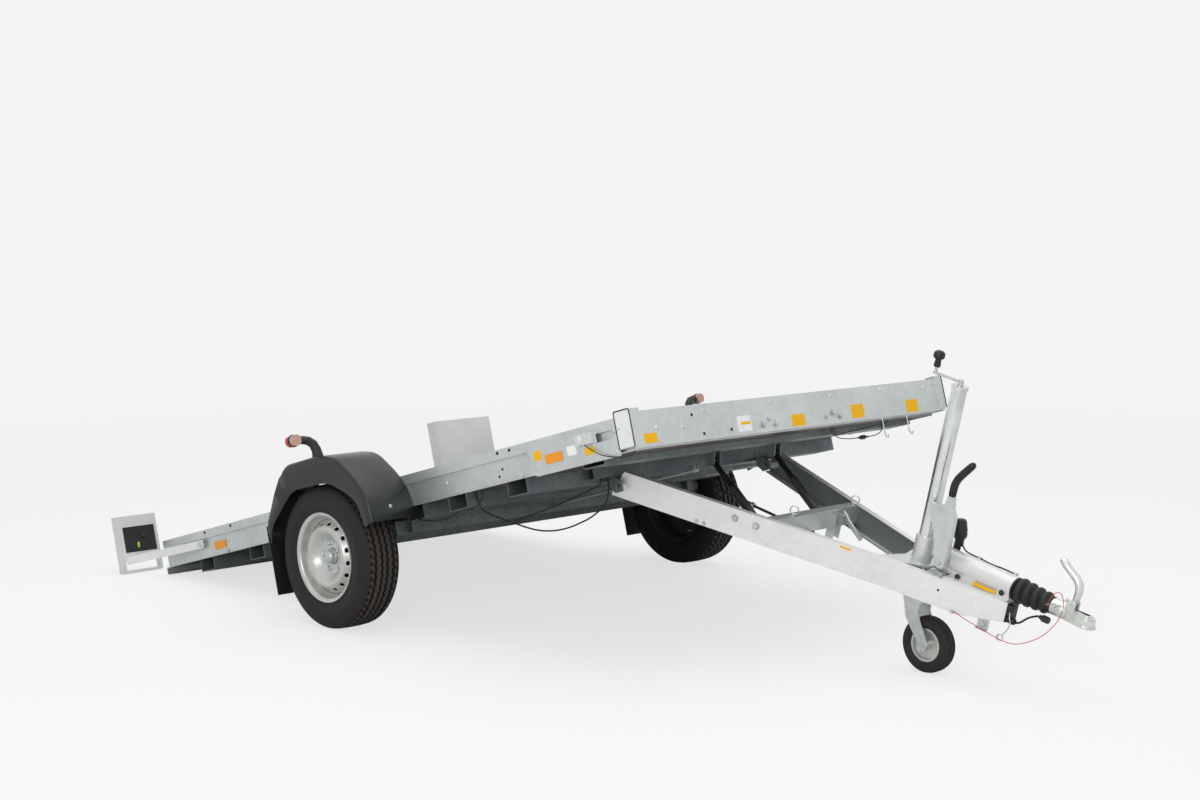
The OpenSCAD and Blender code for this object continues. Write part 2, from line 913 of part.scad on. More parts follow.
module brake_lever() {
  color(silver)
    bar_frame()
      translate([brake_p, 0, brake_q])
        difference() {
          along_y(brake_y, brake_y + brake_w)
            polygon([
              [-24, -18], [8, -24], [24, -18], [30, 58], [26, 188], [8, 218], [0, lever_top],
              [-24, lever_top], [-30, 218], [-94, 206], [-96, 184], [-52, 108], [-30, 38]
            ]);
          disc_y(0, 0, brake_pin_r + run_gap, brake_y - 1, brake_y + brake_w + 1);
        }
}

module brake_grip() {
  color(black)
    bar_frame()
      translate([brake_p - 12, brake_y + brake_w / 2, brake_q + lever_top]) {
        cylinder(r = grip_r, h = 66);
        translate([0, 0, 66])
          sphere(r = grip_r);
        translate([0, 0, 66])
          rotate([0, 36, 0])
            cylinder(r = grip_r, h = 112);
      }
}

// Parking socket on its bracket, and the black end pieces of the drawbar's nose.
plug_p = housing_rear + 24;
plug_y = 50;
plug_q = 160;
sleeve_r = 13;
sleeve_y = -20;
sleeve_q = -1;
module plug_holder() {
  color(black)
    bar_frame() {
      translate([plug_p, plug_y, plug_q])
        rotate([0, -10, 0]) {
          cylinder(r = 17, h = 30);
          translate([0, 0, 30]) cylinder(r = 27, h = 62);
          translate([0, 0, 92]) cylinder(r = 22, h = 14);
        }
      box(plug_p - 26, plug_p + 6, 50, 54, bar_top, 176);
      box(plug_p - 26, plug_p + 6, 54, bar_half(plug_p) - 6, bar_top, bar_top + 4);
      box(bar_end, bar_end + 5, -bar_nose, bar_nose, nose_low, bar_top);
      box(bar_end + 5, bar_end + 26, -bar_nose, -6, 26, 58);
      translate([bar_end + 5, sleeve_y, sleeve_q])
        rotate([0, 90, 0])
          cylinder(r = sleeve_r, h = 34);
    }
}

// Support wheel.
module column_clamp() {
  plate_top = bar_top - bar_t;
  rear = column_p - 121;
  mid = column_p - 67;
  tip = column_p + 55;
  edge = bar_t + 3;
  color(zinc)
    bar_frame()
      difference() {
        union() {
          translate([column_p, 0, plate_top])
            cylinder(r = column_r + 9, h = bar_top + 102 - plate_top);
          translate([0, 0, plate_top - 8])
            linear_extrude(8)
              polygon([
                [rear, bar_half(rear) - edge], [mid, bar_half(mid) - edge], [tip, 24],
                [tip, -24], [mid, edge - bar_half(mid)], [rear, edge - bar_half(rear)],
                [rear + 44, 0]
              ]);
        }
        translate([column_p, 0, plate_top - 9])
          cylinder(r = column_r, h = 120);
      }
}

module jockey_outer_tube() {
  color(silver)
    bar_frame()
      difference() {
        union() {
          translate([column_p, 0, bar_low + 4])
            cylinder(r = column_r, h = column_top - bar_low - 4);
          translate([column_p, 0, column_top])
            cylinder(r = column_r + 3, h = 14);
        }
        translate([column_p, 0, bar_low])
          cylinder(r = inner_r + run_gap, h = 660);
        translate([column_p, 0, column_top - 30])
          cylinder(r = crank_pin_r + run_gap, h = 60);
      }
}

fork_top = bar_low - 8;
jockey_p = column_p + jockey_trail;
jockey_q = (jockey_d / 2 - hinge_z + jockey_p * sin(bar_slope)) / cos(bar_slope);
fork_t = 5;
swivel_r = 10;
swivel_head = 5;
// The swivel pin's head holds the fork's crown up against the inner tube.
module jockey_inner_tube() {
  pin_low = fork_top - fork_t - run_gap - swivel_head;
  color(silver)
    bar_frame()
      translate([column_p, 0, 0]) {
        translate([0, 0, fork_top + run_gap])
          cylinder(r = inner_r, h = 380);
        translate([0, 0, pin_low])
          cylinder(r = swivel_r, h = fork_top - pin_low + 2);
        translate([0, 0, pin_low])
          cylinder(r = swivel_r + 5, h = swivel_head);
      }
}

module jockey_fork() {
  y0 = jockey_w / 2 + 5;
  color(zinc)
    bar_frame() {
      difference() {
        box(column_p - 27, column_p + 95, -y0 - 4, y0 + 4, fork_top - fork_t, fork_top);
        translate([column_p, 0, fork_top - fork_t - 1])
          cylinder(r = swivel_r + run_gap, h = fork_t + 2);
      }
      both_sides()
        difference() {
          along_y(y0, y0 + 4)
            polygon([
              [column_p - 27, fork_top - 4], [column_p + 95, fork_top - 4],
              [column_p + 62, fork_top - 40], [column_p + 66, -130], [jockey_p + 22, jockey_q + 10],
              [jockey_p + 16, jockey_q - 18], [jockey_p - 16, jockey_q - 18],
              [jockey_p - 24, jockey_q], [column_p + 15, -165]
            ]);
          disc_y(jockey_p, jockey_q, 8, y0 - 1, y0 + 5);
        }
      disc_y(jockey_p, jockey_q, 8, -y0 - 8, y0 + 8);
    }
}

module jockey_rim() {
  h = jockey_w / 2;
  color(silver)
    bar_frame()
      translate([jockey_p, 0, jockey_q])
        rotate([-90, 0, 0])
          rotate_extrude($fn = 96)
            polygon([
              [8 + run_gap, -h - 4], [20, -h - 4], [20, -10], [56, -10], [58, -h + 8], [66, -h + 8],
              [66, h - 8], [58, h - 8], [56, 10], [20, 10], [20, h + 4], [8 + run_gap, h + 4]
            ]);
}

module jockey_tyre() {
  h = jockey_w / 2;
  r = jockey_d / 2;
  color(rubber)
    bar_frame()
      translate([jockey_p, 0, jockey_q])
        rotate([-90, 0, 0])
          rotate_extrude($fn = 96)
            polygon([
              [66, -h + 8], [76, -h], [r - 12, -h], [r - 2, -h + 10], [r, -14], [r - 4, -12],
              [r - 4, -8], [r, -6], [r, 6], [r - 4, 8], [r - 4, 12], [r, 14], [r - 2, h - 10],
              [r - 12, h], [76, h], [66, h - 8]
            ]);
}

crank_q = column_top + 14;
crank_pin_r = 7;
module crank_arm() {
  color(silver)
    bar_frame() {
      translate([column_p, 0, column_top - 20])
        cylinder(r = crank_pin_r, h = 40);
      translate([column_p, 0, crank_q + run_gap])
        cylinder(r = 11, h = 22);
      box(column_p - 128, column_p, -7, 7, crank_q + 10, crank_q + 18);
      translate([column_p - 121, 0, crank_q + 18])
        cylinder(r = 6, h = 20);
    }
}

module crank_knob() {
  color(black)
    bar_frame()
      translate([column_p - 121, 0, crank_q + 38])
        rotate_extrude()
          polygon([[0, 0], [12, 0], [14, 20], [20, 40], [22, 50], [22, 58], [17, 64], [0, 64]]);
}

// Cords and cables.
safety_d = 3;
lead_d = 8;
plug_lead_d = 6;
deck_cable_d = 7;
safety_route = [
  [1760, -33.8, 114], [1761, -34, 124], [1764, -37, 140], [1769, -40, 156], [1778, -41, 172],
  [1790, -42, 183], [1804, -44, 186], [1817, -48, 179], [1827, -52, 165], [1833, -55, 145],
  [1835, -59, 118], [1829, -62, 91], [1817, -65, 63], [1801, -67, 35], [1780, -68, 8],
  [1752, -69, -18], [1720, -70, -42], [1688, -71, -58], [1652, -72, -66], [1600, -72, -67],
  [1548, -72, -62], [1494, -74, -56], [1450, -77, -50], [1424, -79, -45],
  [1407.3, -82.3, -44]
];
tow_route = [
  [1639.6, -20, -1], [1647, -20, 0], [1655, -20, 4], [1662, -21, 10], [1669, -21, 17],
  [1676, -22, 25], [1684, -22, 33], [1693, -23, 41], [1703, -23, 48], [1713, -24, 54],
  [1724, -24, 60], [1729, -24, 61.5], [1734.5, -24, 62]
];
plug_route = [
  [1305.6, 46, 168], [1314, 42, 164], [1324, 37, 160], [1338, 33, 157], [1356, 30, 156],
  [1380, 30, 155], [1401, 30, 155], [1412, 30, 155], [1432, 30, 153], [1476, 30, 153],
  [1500, 30, 155], [1562, 30, 155]
];
rail_cable = [
  [322, -962, 138.6], [322, -962, 128], [330, -962, 116], [356, -962, 104], [420, -962, 82], [511, -962, 60],
  [590, -962, 55], [650, -962, 61], [700, -962, 71], [757, -962, 73], [815, -962, 76],
  [850, -962, 94], [868, -962, 118], [870, -962, 128], [870, -962, 138.6]
];
loom_cable = [
  [758, -904, 138.6], [758, -902, 105], [764, -896, 66], [775, -864, 38], [791, -829, 14],
  [812, -790, -10], [840, -750, -38], [880, -718, -62], [921, -687, -75], [970, -651, -78],
  [1026, -616, -68], [1085, -580, -46], [1130, -548, -8], [1150, -534, 40], [1153, -530, 80], [1153, -530, 94.6]
];
stay_cable = [
  [818, -780, -9], [870, -745, 2], [940, -700, 14], [1030, -640, 36], [1096, -604, 54],
  [1134, -580, 66], [1151, -570, 80], [1153, -570, 88], [1153, -570, 94.6]
];

function unit(v) = v / norm(v);
function along(route, i) =
  unit(route[min(i + 1, len(route) - 1)] - route[max(i - 1, 0)]);

// A round cord swept along its route, as one closed skin.
module cord(route, d) {
  sides = 8;
  last = len(route) - 1;
  skin = [
    for (i = [0:last])
      let (t = along(route, i), a = unit(cross(t, [0, 1, 0])), b = cross(t, a))
        for (k = [0:sides - 1])
          route[i] + d / 2 * (cos(k * 360 / sides) * a + sin(k * 360 / sides) * b)
  ];
  polyhedron(skin, concat(
    [[for (k = [0:sides - 1]) k]],
    [
      for (i = [0:last - 1], k = [0:sides - 1])
        let (here = i * sides, next = here + sides, side = (k + 1) % sides) each [
          [here + k, next + side, here + side],
          [here + k, next + k, next + side]
        ]
    ],
    [[for (k = [sides - 1:-1:0]) last * sides + k]]
  ));
}

module breakaway_cord() {
  color("red")
    bar_frame() cord(safety_route, safety_d);
}

module tow_lead() {
  color(black)
    bar_frame() cord(tow_route, lead_d);
}

module tow_plug() {
  color(black)
    bar_frame()
      translate([1735, -24, 62])
        rotate([0, 90, 0])
          rotate_extrude()
            polygon([[0, 0], [8, 0], [9, 8], [13, 12], [13, 36], [11, 40], [0, 40]]);
}

module plug_lead() {
  color(black)
    bar_frame() cord(plug_route, plug_lead_d);
}

module deck_cables() {
  color(black)
    bed_frame() {
      cord(rail_cable, deck_cable_d);
      cord(loom_cable, deck_cable_d);
      cord(stay_cable, deck_cable_d);
    }
}

// Clips: two on the top of the overrun housing, one under the right beam's edge.
clip_turn = atan2(30, 40);
clip_base = tube_r + 19.3;
web_clip_p = 1409;
module cord_clips() {
  color("red")
    bar_frame() {
      for (p = [1401, 1567])
        translate([p, 0, tube_q])
          rotate([-clip_turn, 0, 0])
            difference() {
              box(-6, 6, -6, 6, clip_base, clip_base + 12);
              translate([p > 1500 ? -7 : -9, 0, 50])
                rotate([0, 90, 0])
                  cylinder(d = plug_lead_d + 0.8, h = p > 1500 ? 9 : 18);
            }
      translate([web_clip_p, -bar_half(web_clip_p), -44])
        rotate([0, 0, nose_yaw])
          difference() {
            box(-12, 0, -9, -0.3, -7, 7);
            translate([-3, -4, 0])
              rotate([0, 90, 0])
                cylinder(d = safety_d + 0.8, h = 10);
          }
    }
}

side_rail(-1);  // side_rail_right
side_rail(1);  // side_rail_left
front_panel();
corner_posts();
floor_panel();
tail_beam();
cross_channels();
strut_brackets();
hinge_beam();
axle();
trailing_arms();
fender(-1);  // fender_right
fender(1);  // fender_left
mud_flaps();
marker_arms();
marker_lenses_white();
marker_lenses_red();
front_lamps();
side_reflectors();
stop_plate();
tyre(-1);  // tyre_right
rim(-1);  // rim_right
tyre(1);  // tyre_left
rim(1);  // rim_left
board_arm(-1);  // board_arm_right
light_board(-1);  // light_board_right
tail_lamp(-1);  // tail_lamp_right
board_arm(1);  // board_arm_left
light_board(1);  // light_board_left
tail_lamp(1);  // tail_lamp_left
drawbar_beam(-1);  // drawbar_beam_right
drawbar_beam(1);  // drawbar_beam_left
hinge_bosses();
drawbar_cross();
strut_barrels();
strut_rods();
latch_lever();
overrun_housing();
drawtube();
bellows();
coupling_head();
coupling_handle();
brake_foot();
brake_lever();
brake_grip();
plug_holder();
column_clamp();
jockey_outer_tube();
jockey_inner_tube();
jockey_fork();
jockey_rim();
jockey_tyre();
crank_arm();
crank_knob();
plug_lead();
tow_lead();
tow_plug();
breakaway_cord();
cord_clips();
deck_cables();
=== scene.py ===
# %% [markdown]
# # A tipping trailer, tipped back
# The trailer is a flat bed on one axle, with a long A-shaped drawbar. Its tail is on the ground
# here, ready for a car to drive on. The steel comes from the CAD model as ready-made pieces, all
# in one frame in metres: X forward to the coupling, Y to the trailer's left, Z up from the
# ground. This lesson dresses those pieces, adds finer ones, and photographs the result.

# %% Load the frame
import math

import bmesh
import bpy
from mathutils import Matrix, Vector


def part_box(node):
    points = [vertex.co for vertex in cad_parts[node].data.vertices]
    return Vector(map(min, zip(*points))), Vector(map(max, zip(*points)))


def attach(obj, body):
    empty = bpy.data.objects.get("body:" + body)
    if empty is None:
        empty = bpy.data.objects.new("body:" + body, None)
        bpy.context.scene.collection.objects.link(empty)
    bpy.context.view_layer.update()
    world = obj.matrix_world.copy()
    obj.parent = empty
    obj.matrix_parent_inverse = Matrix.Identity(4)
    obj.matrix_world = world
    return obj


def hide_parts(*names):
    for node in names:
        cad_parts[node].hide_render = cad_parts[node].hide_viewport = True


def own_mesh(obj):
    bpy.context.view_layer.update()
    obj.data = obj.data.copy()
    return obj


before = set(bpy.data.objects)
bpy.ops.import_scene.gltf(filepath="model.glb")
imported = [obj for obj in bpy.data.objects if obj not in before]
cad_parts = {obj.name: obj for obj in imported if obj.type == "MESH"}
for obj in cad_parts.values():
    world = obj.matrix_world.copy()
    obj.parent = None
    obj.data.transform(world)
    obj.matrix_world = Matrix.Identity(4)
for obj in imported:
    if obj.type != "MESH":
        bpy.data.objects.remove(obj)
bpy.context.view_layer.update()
print(len(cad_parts), "pieces came with the frame")

# %% [markdown]
# ## Two drawing boards
# The bed and the drawbar are straight things that lie at a slope, so it is easier to draw on them
# than in the room. Each gets a matrix that takes millimetres on its own axes to metres in the
# room. On the bed, u runs forward from the wheel axis, y to the left and w up from the axis. On
# the drawbar, p runs forward from its hinge, and q up from the line of the hinge.

# %% The bed's and the drawbar's own axes
TYRE_R = 314.0
TILT = math.radians(14.6787)
SLOPE = math.radians(14.2)
AXLE_X = -0.59767
WHEEL_AXIS = (AXLE_X, 0, TYRE_R / 1000)
HINGE = (0.536493, 0, 0.66071)
MM = Matrix.Scale(0.001, 4)
BED = Matrix.Translation(WHEEL_AXIS) @ Matrix.Rotation(-TILT, 4, "Y") @ MM
BAR = Matrix.Translation(HINGE) @ Matrix.Rotation(SLOPE, 4, "Y") @ MM
SIDES = (("right", -1), ("left", 1))
print("tail edge of the bed at", [round(v, 3) for v in BED @ Vector((-1640, 0, 105))])
print("hinge of the drawbar at", [round(v, 3) for v in BAR @ Vector((0, 0, 0))])

# %% [markdown]
# ## The camera
# The photograph was taken from the front right, at about a standing person's height, with a
# moderately long lens. Its place was worked out from points whose distances are known, such as
# the wheels and the corners of the bed. Building the matrix from the direction of view keeps the
# three angles readable.

# %% Stand the camera where the photograph was taken
def put(name, data):
    """An object for a mesh, a curve, a lamp or a camera, in the scene."""
    made = bpy.data.objects.new(name, data)
    bpy.context.collection.objects.link(made)
    return made


PHOTO_WIDTH, FOCAL_PX = 1200, 1896.4
SENSOR_MM = 36.0
EYE = Vector((AXLE_X + 6.6246, -5.9155, 1.757))
YAW, PITCH, ROLL = (math.radians(a) for a in (45.986, 5.467, -0.450))

ahead = Vector((-math.sin(YAW) * math.cos(PITCH), math.cos(YAW) * math.cos(PITCH), -math.sin(PITCH)))
level = Vector((math.cos(YAW), math.sin(YAW), 0.0))
upright = level.cross(ahead)
right = math.cos(ROLL) * level + math.sin(ROLL) * upright
above = -math.sin(ROLL) * level + math.cos(ROLL) * upright

lens = bpy.data.cameras.new("photo_lens")
lens.sensor_width = SENSOR_MM
lens.lens = FOCAL_PX * SENSOR_MM / PHOTO_WIDTH
camera = put("photo_camera", lens)
camera.matrix_world = Matrix.Translation(EYE) @ Matrix((right, above, -ahead)).transposed().to_4x4()
scene = bpy.context.scene
scene.camera = camera
scene.view_settings.view_transform = "Standard"
print("camera at", [round(v, 3) for v in EYE], "with a lens of", round(lens.lens, 1), "mm")

# %% [markdown]
# ## Tools for finishes
# Every finish is a Principled shader with a few nodes in front of it. Colours are written as hex
# values, so one function turns them to the linear values that Blender calculates with. Another
# adds any node, sets it and links it. Patterns read Object coordinates, which are metres here, so
# a scale of 1000 / size gives a size in mm.

# %% Colour and node helpers
def srgb(code):
    parts = [int(code[i:i + 2], 16) / 255 for i in (1, 3, 5)]
    return [p / 12.92 if p <= 0.04045 else ((p + 0.055) / 1.055) ** 2.4 for p in parts] + [1.0]


def add(tree, kind, inputs=None, **settings):
    node = tree.nodes.new("ShaderNode" + kind)
    for name, value in settings.items():
        setattr(node, name, value)
    for name, value in (inputs or {}).items():
        if isinstance(value, bpy.types.NodeSocket):
            tree.links.new(value, node.inputs[name])
        else:
            node.inputs[name].default_value = value
    return node


def shader_inputs(mat):
    return mat.node_tree.nodes["Principled BSDF"].inputs


def finish(name, colour, metallic, roughness, **extra):
    """A Principled material with its plain values set."""
    mat = bpy.data.materials.new(name)
    mat.use_nodes = True
    mat.diffuse_color = srgb(colour)
    values = {"Base_Color": srgb(colour), "Metallic": metallic, "Roughness": roughness, **extra}
    for socket, value in values.items():
        shader_inputs(mat)[socket.replace("_", " ")].default_value = value
    add(mat.node_tree, "TexCoord")
    return mat


def here(mat, kind="Object"):
    """Where a point of the surface is, or which way it faces."""
    return mat.node_tree.nodes["Texture Coordinate"].outputs[kind]


def noise(mat, size_mm, detail, **extra):
    """A soft pattern from 0 to 1, with patches of about this many millimetres."""
    values = {"Vector": here(mat), "Scale": 1000 / size_mm, "Detail": detail, **extra}
    return add(mat.node_tree, "TexNoise", values).outputs["Fac"]


def cells(mat, size_mm, feature="F1"):
    """Cells of about this many millimetres."""
    values = {"Vector": here(mat), "Scale": 1000 / size_mm}
    return add(mat.node_tree, "TexVoronoi", values, feature=feature).outputs


def waves(mat, size_mm, distortion=0.0, way="X"):
    """Ridges about this many millimetres apart."""
    values = {"Vector": here(mat), "Scale": 1000 / (size_mm * 6.28), "Distortion": distortion}
    return add(mat.node_tree, "TexWave", values, bands_direction=way).outputs["Fac"]


def drive(mat, socket, source):
    mat.node_tree.links.new(source, shader_inputs(mat)[socket])


def tints(mat, amount, *codes):
    """The colour of a finish runs through these shades as a pattern goes from 0 to 1."""
    ramp = add(mat.node_tree, "ValToRGB", {"Fac": amount})
    stops = ramp.color_ramp.elements
    while len(stops) < len(codes):
        stops.new(0.5)
    for i, code in enumerate(codes):
        stops[i].position = 0.3 + 0.4 * i / (len(codes) - 1)
        stops[i].color = srgb(code)
    drive(mat, "Base Color", ramp.outputs["Color"])


def vary(mat, amount, low, high):
    """The roughness runs from low to high with a pattern."""
    spread = add(mat.node_tree, "MapRange", {"Value": amount, "To Min": low, "To Max": high})
    drive(mat, "Roughness", spread.outputs["Result"])


def relief(mat, height, depth_mm, strength=0.5):
    """A pattern raises the surface by about this many millimetres."""
    bump = add(mat.node_tree, "Bump", {"Height": height, "Distance": depth_mm / 1000, "Strength": strength})
    drive(mat, "Normal", bump.outputs["Normal"])


# %% [markdown]
# ## Zinc
# Most of the trailer is steel dipped in molten zinc. The zinc freezes in flat crystals, the
# spangle, which catch the light at slightly different angles. Voronoi cells grow from scattered
# seeds until they meet, just as the crystals do. Over them lies a soft cloudiness where the zinc
# has begun to dull. Real crystals are 5 to 15 mm across; they are drawn at the coarse end, so
# that they show from where the camera stands.

# %% Galvanised sheet and beams
CLOUD_SHARE = 0.86


def galvanised(name, light, mid, dark, metallic, roughness, spangle_mm=16, cloud_mm=260):
    mat = finish(name, mid, metallic, roughness)
    grey = add(mat.node_tree, "SeparateColor", {"Color": cells(mat, spangle_mm)["Color"]}).outputs
    cloud = noise(mat, cloud_mm, 5, Roughness=0.6)
    both = add(mat.node_tree, "Mix", {"Factor": CLOUD_SHARE, "A": grey["Red"], "B": cloud}).outputs["Result"]
    tints(mat, both, dark, mid, light)
    vary(mat, both, roughness + 0.12, roughness - 0.08)
    relief(mat, grey["Green"], 0.3, 0.12)
    return mat


# zinc-coated sheet steel, folded: pale, softly shining, with a fine crystal pattern
sheet_zinc = galvanised("galvanised_sheet", "#d3d7d6", "#c9cece", "#bdc3c4", 0.7, 0.34)
# the same steel under the bed, its colour darkened by painted shade; it is rougher than the sheet
shaded_under_bed_zinc = galvanised("galvanised_steel_with_painted_shade", "#858c8d", "#737a7c", "#5e6668", 0.65, 0.46)
# thick hot-dip coating on the drawbar: nearly white, with the crystals only just seen
DIPPED = ("#f0f1f0", "#eaebea", "#dfe1e1", 0.35, 0.38, 22, 420)
beam_zinc = galvanised("hot_dip_galvanised_beam", *DIPPED)
# the same coating on the drawbar's channels, with painted shade that greys their inner sides: a
# face lies inside where its normal points back at the middle of the drawbar
channel_zinc = galvanised("hot_dip_channel_with_painted_inner_shade", *DIPPED)
tree = channel_zinc.node_tree
unshaded = shader_inputs(channel_zinc)["Base Color"].links[0].from_socket
facing, spot = (add(tree, "SeparateXYZ", {"Vector": here(channel_zinc, kind)}).outputs["Y"]
                for kind in ("Normal", "Object"))
outwards = add(tree, "Math", {0: facing, 1: spot}, operation="MULTIPLY").outputs[0]
inner_side = {"From Min": -0.07, "From Max": -0.03, "To Min": 1.0, "To Max": 0.0}
inner_shade = add(tree, "MapRange", {"Value": outwards, **inner_side}).outputs["Result"]
shaded_inside = add(tree, "Mix", {"Factor": inner_shade, "A": unshaded, "B": srgb("#7c8183")}, data_type="RGBA")
drive(channel_zinc, "Base Color", shaded_inside.outputs["Result"])
# small pressed parts with a brighter coating
bright_zinc = galvanised("bright_zinc_pressing", "#d6dada", "#c4c9c9", "#aeb4b5", 0.7, 0.33, 9, 90)
# the stop plate, the lamp boards and the column clamp: plated more evenly than a dipped beam
pale_zinc = galvanised("evenly_plated_sheet", "#dfe1e0", "#d8dbda", "#ced2d1", 0.5, 0.36, 12, 300)
# the support wheel's column, a drawn tube with a smooth, bright coating
tube_zinc = galvanised("drawn_galvanised_tube", "#e6e9e7", "#dde1df", "#cdd2d1", 0.92, 0.2, 30, 120)
# the coupling head and its lever: plated pressings with a small crystal
cast_zinc = galvanised("zinc_plated_pressing", "#e4e6e3", "#dadeda", "#ccd1cf", 0.85, 0.27, 5, 50)
print("eight kinds of zinc")

# %% [markdown]
# ## Paints and castings
# The overrun housing and the wheels are painted silver: lacquer with fine aluminium flakes over a
# casting or a pressing. A casting keeps the grain of its sand mould, which paint softens but
# doesn't hide. The strut barrels are satin black.

# %% Painted steel and castings
def silver_paint(name, colour, shade, grain_mm, depth_mm, metallic=0.45, roughness=0.4):
    mat = finish(name, colour, metallic, roughness, Coat_Weight=0.15, Coat_Roughness=0.25)
    tints(mat, noise(mat, 120, 4), shade, colour, colour)
    relief(mat, noise(mat, grain_mm, 3), depth_mm, 0.35)
    return mat


# grey iron casting under silver lacquer: soft highlights over a sandy skin
cast_silver = silver_paint("painted_iron_casting", "#dcdcda", "#c9cac8", 3.5, 0.5)
# pressed steel wheel under silver lacquer: smoother and a little darker
wheel_silver = silver_paint("wheel_lacquer", "#c3c5c1", "#b1b3b0", 8, 0.08, 0.6, 0.33)
# zinc-plated and passivated levers: pale grey with a faint bloom
lever_grey = silver_paint("passivated_lever_steel", "#cfd4d3", "#bcc2c1", 6, 0.1, 0.6, 0.36)
# the brake drum, bare iron browned by rust
drum_iron = silver_paint("bare_drum_iron", "#33302e", "#40362f", 6, 0.2, 0.3, 0.62)
# the rim's inner side, darkened nearly black by painted shade
shaded_rim_lacquer = silver_paint("wheel_lacquer_with_painted_shade", "#2b2826", "#1f1d1c", 6, 0.1, 0.2, 0.6)
# satin black enamel on the strut barrels and the brake rods
satin_black = finish("satin_black_enamel", "#1b1c1e", 0.0, 0.38, Coat_Weight=0.2)
tints(satin_black, noise(satin_black, 60, 4), "#161719", "#232527")
relief(satin_black, noise(satin_black, 4, 2), 0.05)

# nitrided steel on the strut rods: a black skin, hard and polished, with a metal's sheen
nitrided = finish("black_nitrided_rod", "#2a2c2f", 0.8, 0.2)
skin = noise(nitrided, 40, 3)
tints(nitrided, skin, "#222427", "#323438")
vary(nitrided, skin, 0.16, 0.3)

# hard chromium plating on the sliding rods: mirror-bright, with hair-fine lapping marks
hard_chrome = finish("hard_chrome", "#d4d7d9", 1.0, 0.12)
vary(hard_chrome, noise(hard_chrome, 3, 2), 0.08, 0.2)
print("paints and plating mixed")

# %% [markdown]
# ## Plastics and rubber
# The mudguards are moulded in black polyethylene. Their leathery grain keeps the plastic from
# looking wet, and soft patches of it are a little greyer. Rubber is darker and duller, and a tyre's
# is browned by the waxes that rise in it.

# %% Moulded and vulcanised parts
def moulded(name, colour, worn, grain_mm, depth_mm, roughness, cloud_mm=180):
    mat = finish(name, colour, 0.0, roughness, Specular_IOR_Level=0.4)
    fade = noise(mat, cloud_mm, 5)
    tints(mat, fade, colour, worn)
    vary(mat, fade, roughness - 0.06, roughness + 0.1)
    relief(mat, cells(mat, grain_mm, "SMOOTH_F1")["Distance"], depth_mm, 0.4)
    return mat


# polyethylene mudguard: charcoal with a fine leather grain and a soft sheen
fender_black = moulded("grained_polyethylene", "#1c1f21", "#272a2c", 3, 0.2, 0.3)
# glass-filled nylon: small hard black parts, smoother than the mudguards
nylon_black = moulded("glass_filled_nylon", "#18191b", "#222426", 2, 0.1, 0.45)
# tyre sidewall: brown-black, matt
tyre_rubber = moulded("tyre_rubber", "#191614", "#25211e", 2, 0.15, 0.66, 90)
# sheet rubber and bellows: blacker, with a slight gloss where it bends
soft_rubber = moulded("sheet_rubber", "#111213", "#1d1f20", 4, 0.1, 0.5, 120)
# soft PVC on the cables
cable_pvc = moulded("black_cable_pvc", "#141516", "#1e2021", 1.5, 0.05, 0.5, 60)
# red PVC coat on the breakaway cable
red_pvc = moulded("red_cable_pvc", "#b8241c", "#cf3a2c", 1.5, 0.05, 0.4, 40)

# road tread: the same rubber, scuffed grey by the road. Its colour changes with the distance
# from the axle, so it turns with the wheel
tread_rubber = finish("scuffed_tread_rubber", "#1b1816", 0.0, 0.7, Specular_IOR_Level=0.4)
tree = tread_rubber.node_tree
from_axle = add(tree, "VectorMath", {0: here(tread_rubber), 1: WHEEL_AXIS}, operation="SUBTRACT")
in_plane = add(tree, "VectorMath", {0: from_axle.outputs[0], 1: (1, 0, 1)}, operation="MULTIPLY")
radius = add(tree, "VectorMath", {0: in_plane.outputs[0]}, operation="LENGTH").outputs["Value"]
scuffed = add(tree, "MapRange", {"Value": radius, "From Min": 0.306, "From Max": 0.3125})
tints(tread_rubber, scuffed.outputs["Result"], "#191614", "#1c1917", "#3d3834")
relief(tread_rubber, noise(tread_rubber, 5, 4), 0.25, 0.4)
print("plastics and rubbers mixed")

# %% [markdown]
# ## Lenses, film and plywood
# A lens is clear or dyed acrylic with rows of small prisms on its inside. They break up the
# light, which is why a lens never looks like plain glass; a wave pattern in the relief stands for
# them. The yellow patches are reflective film, a honeycomb of tiny cells. The floor is birch
# plywood with a dark resin film pressed to it.

# %% Lamp lenses, reflective film and the floor board
def lens_acrylic(name, colour, rib_mm, see_through):
    mat = finish(name, colour, 0.0, 0.14, Transmission_Weight=see_through, IOR=1.49, Specular_IOR_Level=0.3)
    relief(mat, waves(mat, rib_mm, way="DIAGONAL"), 1.2, 0.6)
    return mat


# clear acrylic of the reversing and front lamps
clear_lens = lens_acrylic("clear_acrylic_lens", "#f3f6f6", 5, 0.3)
# the marker lamps are clear in front, but their red half shines through
rosy_lens = lens_acrylic("clear_lens_over_red", "#dcae9f", 4, 0.2)
# dyed acrylic: red for tail and brake lamps, amber for turning
red_lens = lens_acrylic("red_acrylic_lens", "#c83a1e", 4, 0.15)
amber_lens = lens_acrylic("amber_acrylic_lens", "#ffa21a", 4, 0.1)

# retroreflective film: flat yellow with a honeycomb of 4 mm cells
yellow_film = finish("yellow_reflective_film", "#fbcf06", 0.0, 0.4, Specular_IOR_Level=0.25)
tints(yellow_film, cells(yellow_film, 4, "DISTANCE_TO_EDGE")["Distance"], "#f7b900", "#ffd21a")

# a tag of green polyester on each rear lamp's cable
green_film = finish("green_polyester_tag", "#a4cf3a", 0.0, 0.35)
tints(green_film, noise(green_film, 12, 2), "#95c22f", "#b4dc4c")

# printed polyester film, left blank: an even white with a slight gloss
white_film = finish("blank_polyester_film", "#f1f2f2", 0.0, 0.28)
ripple = noise(white_film, 30, 1)
tints(white_film, ripple, "#ecedee", "#f5f6f6")
relief(white_film, ripple, 0.15, 0.2)

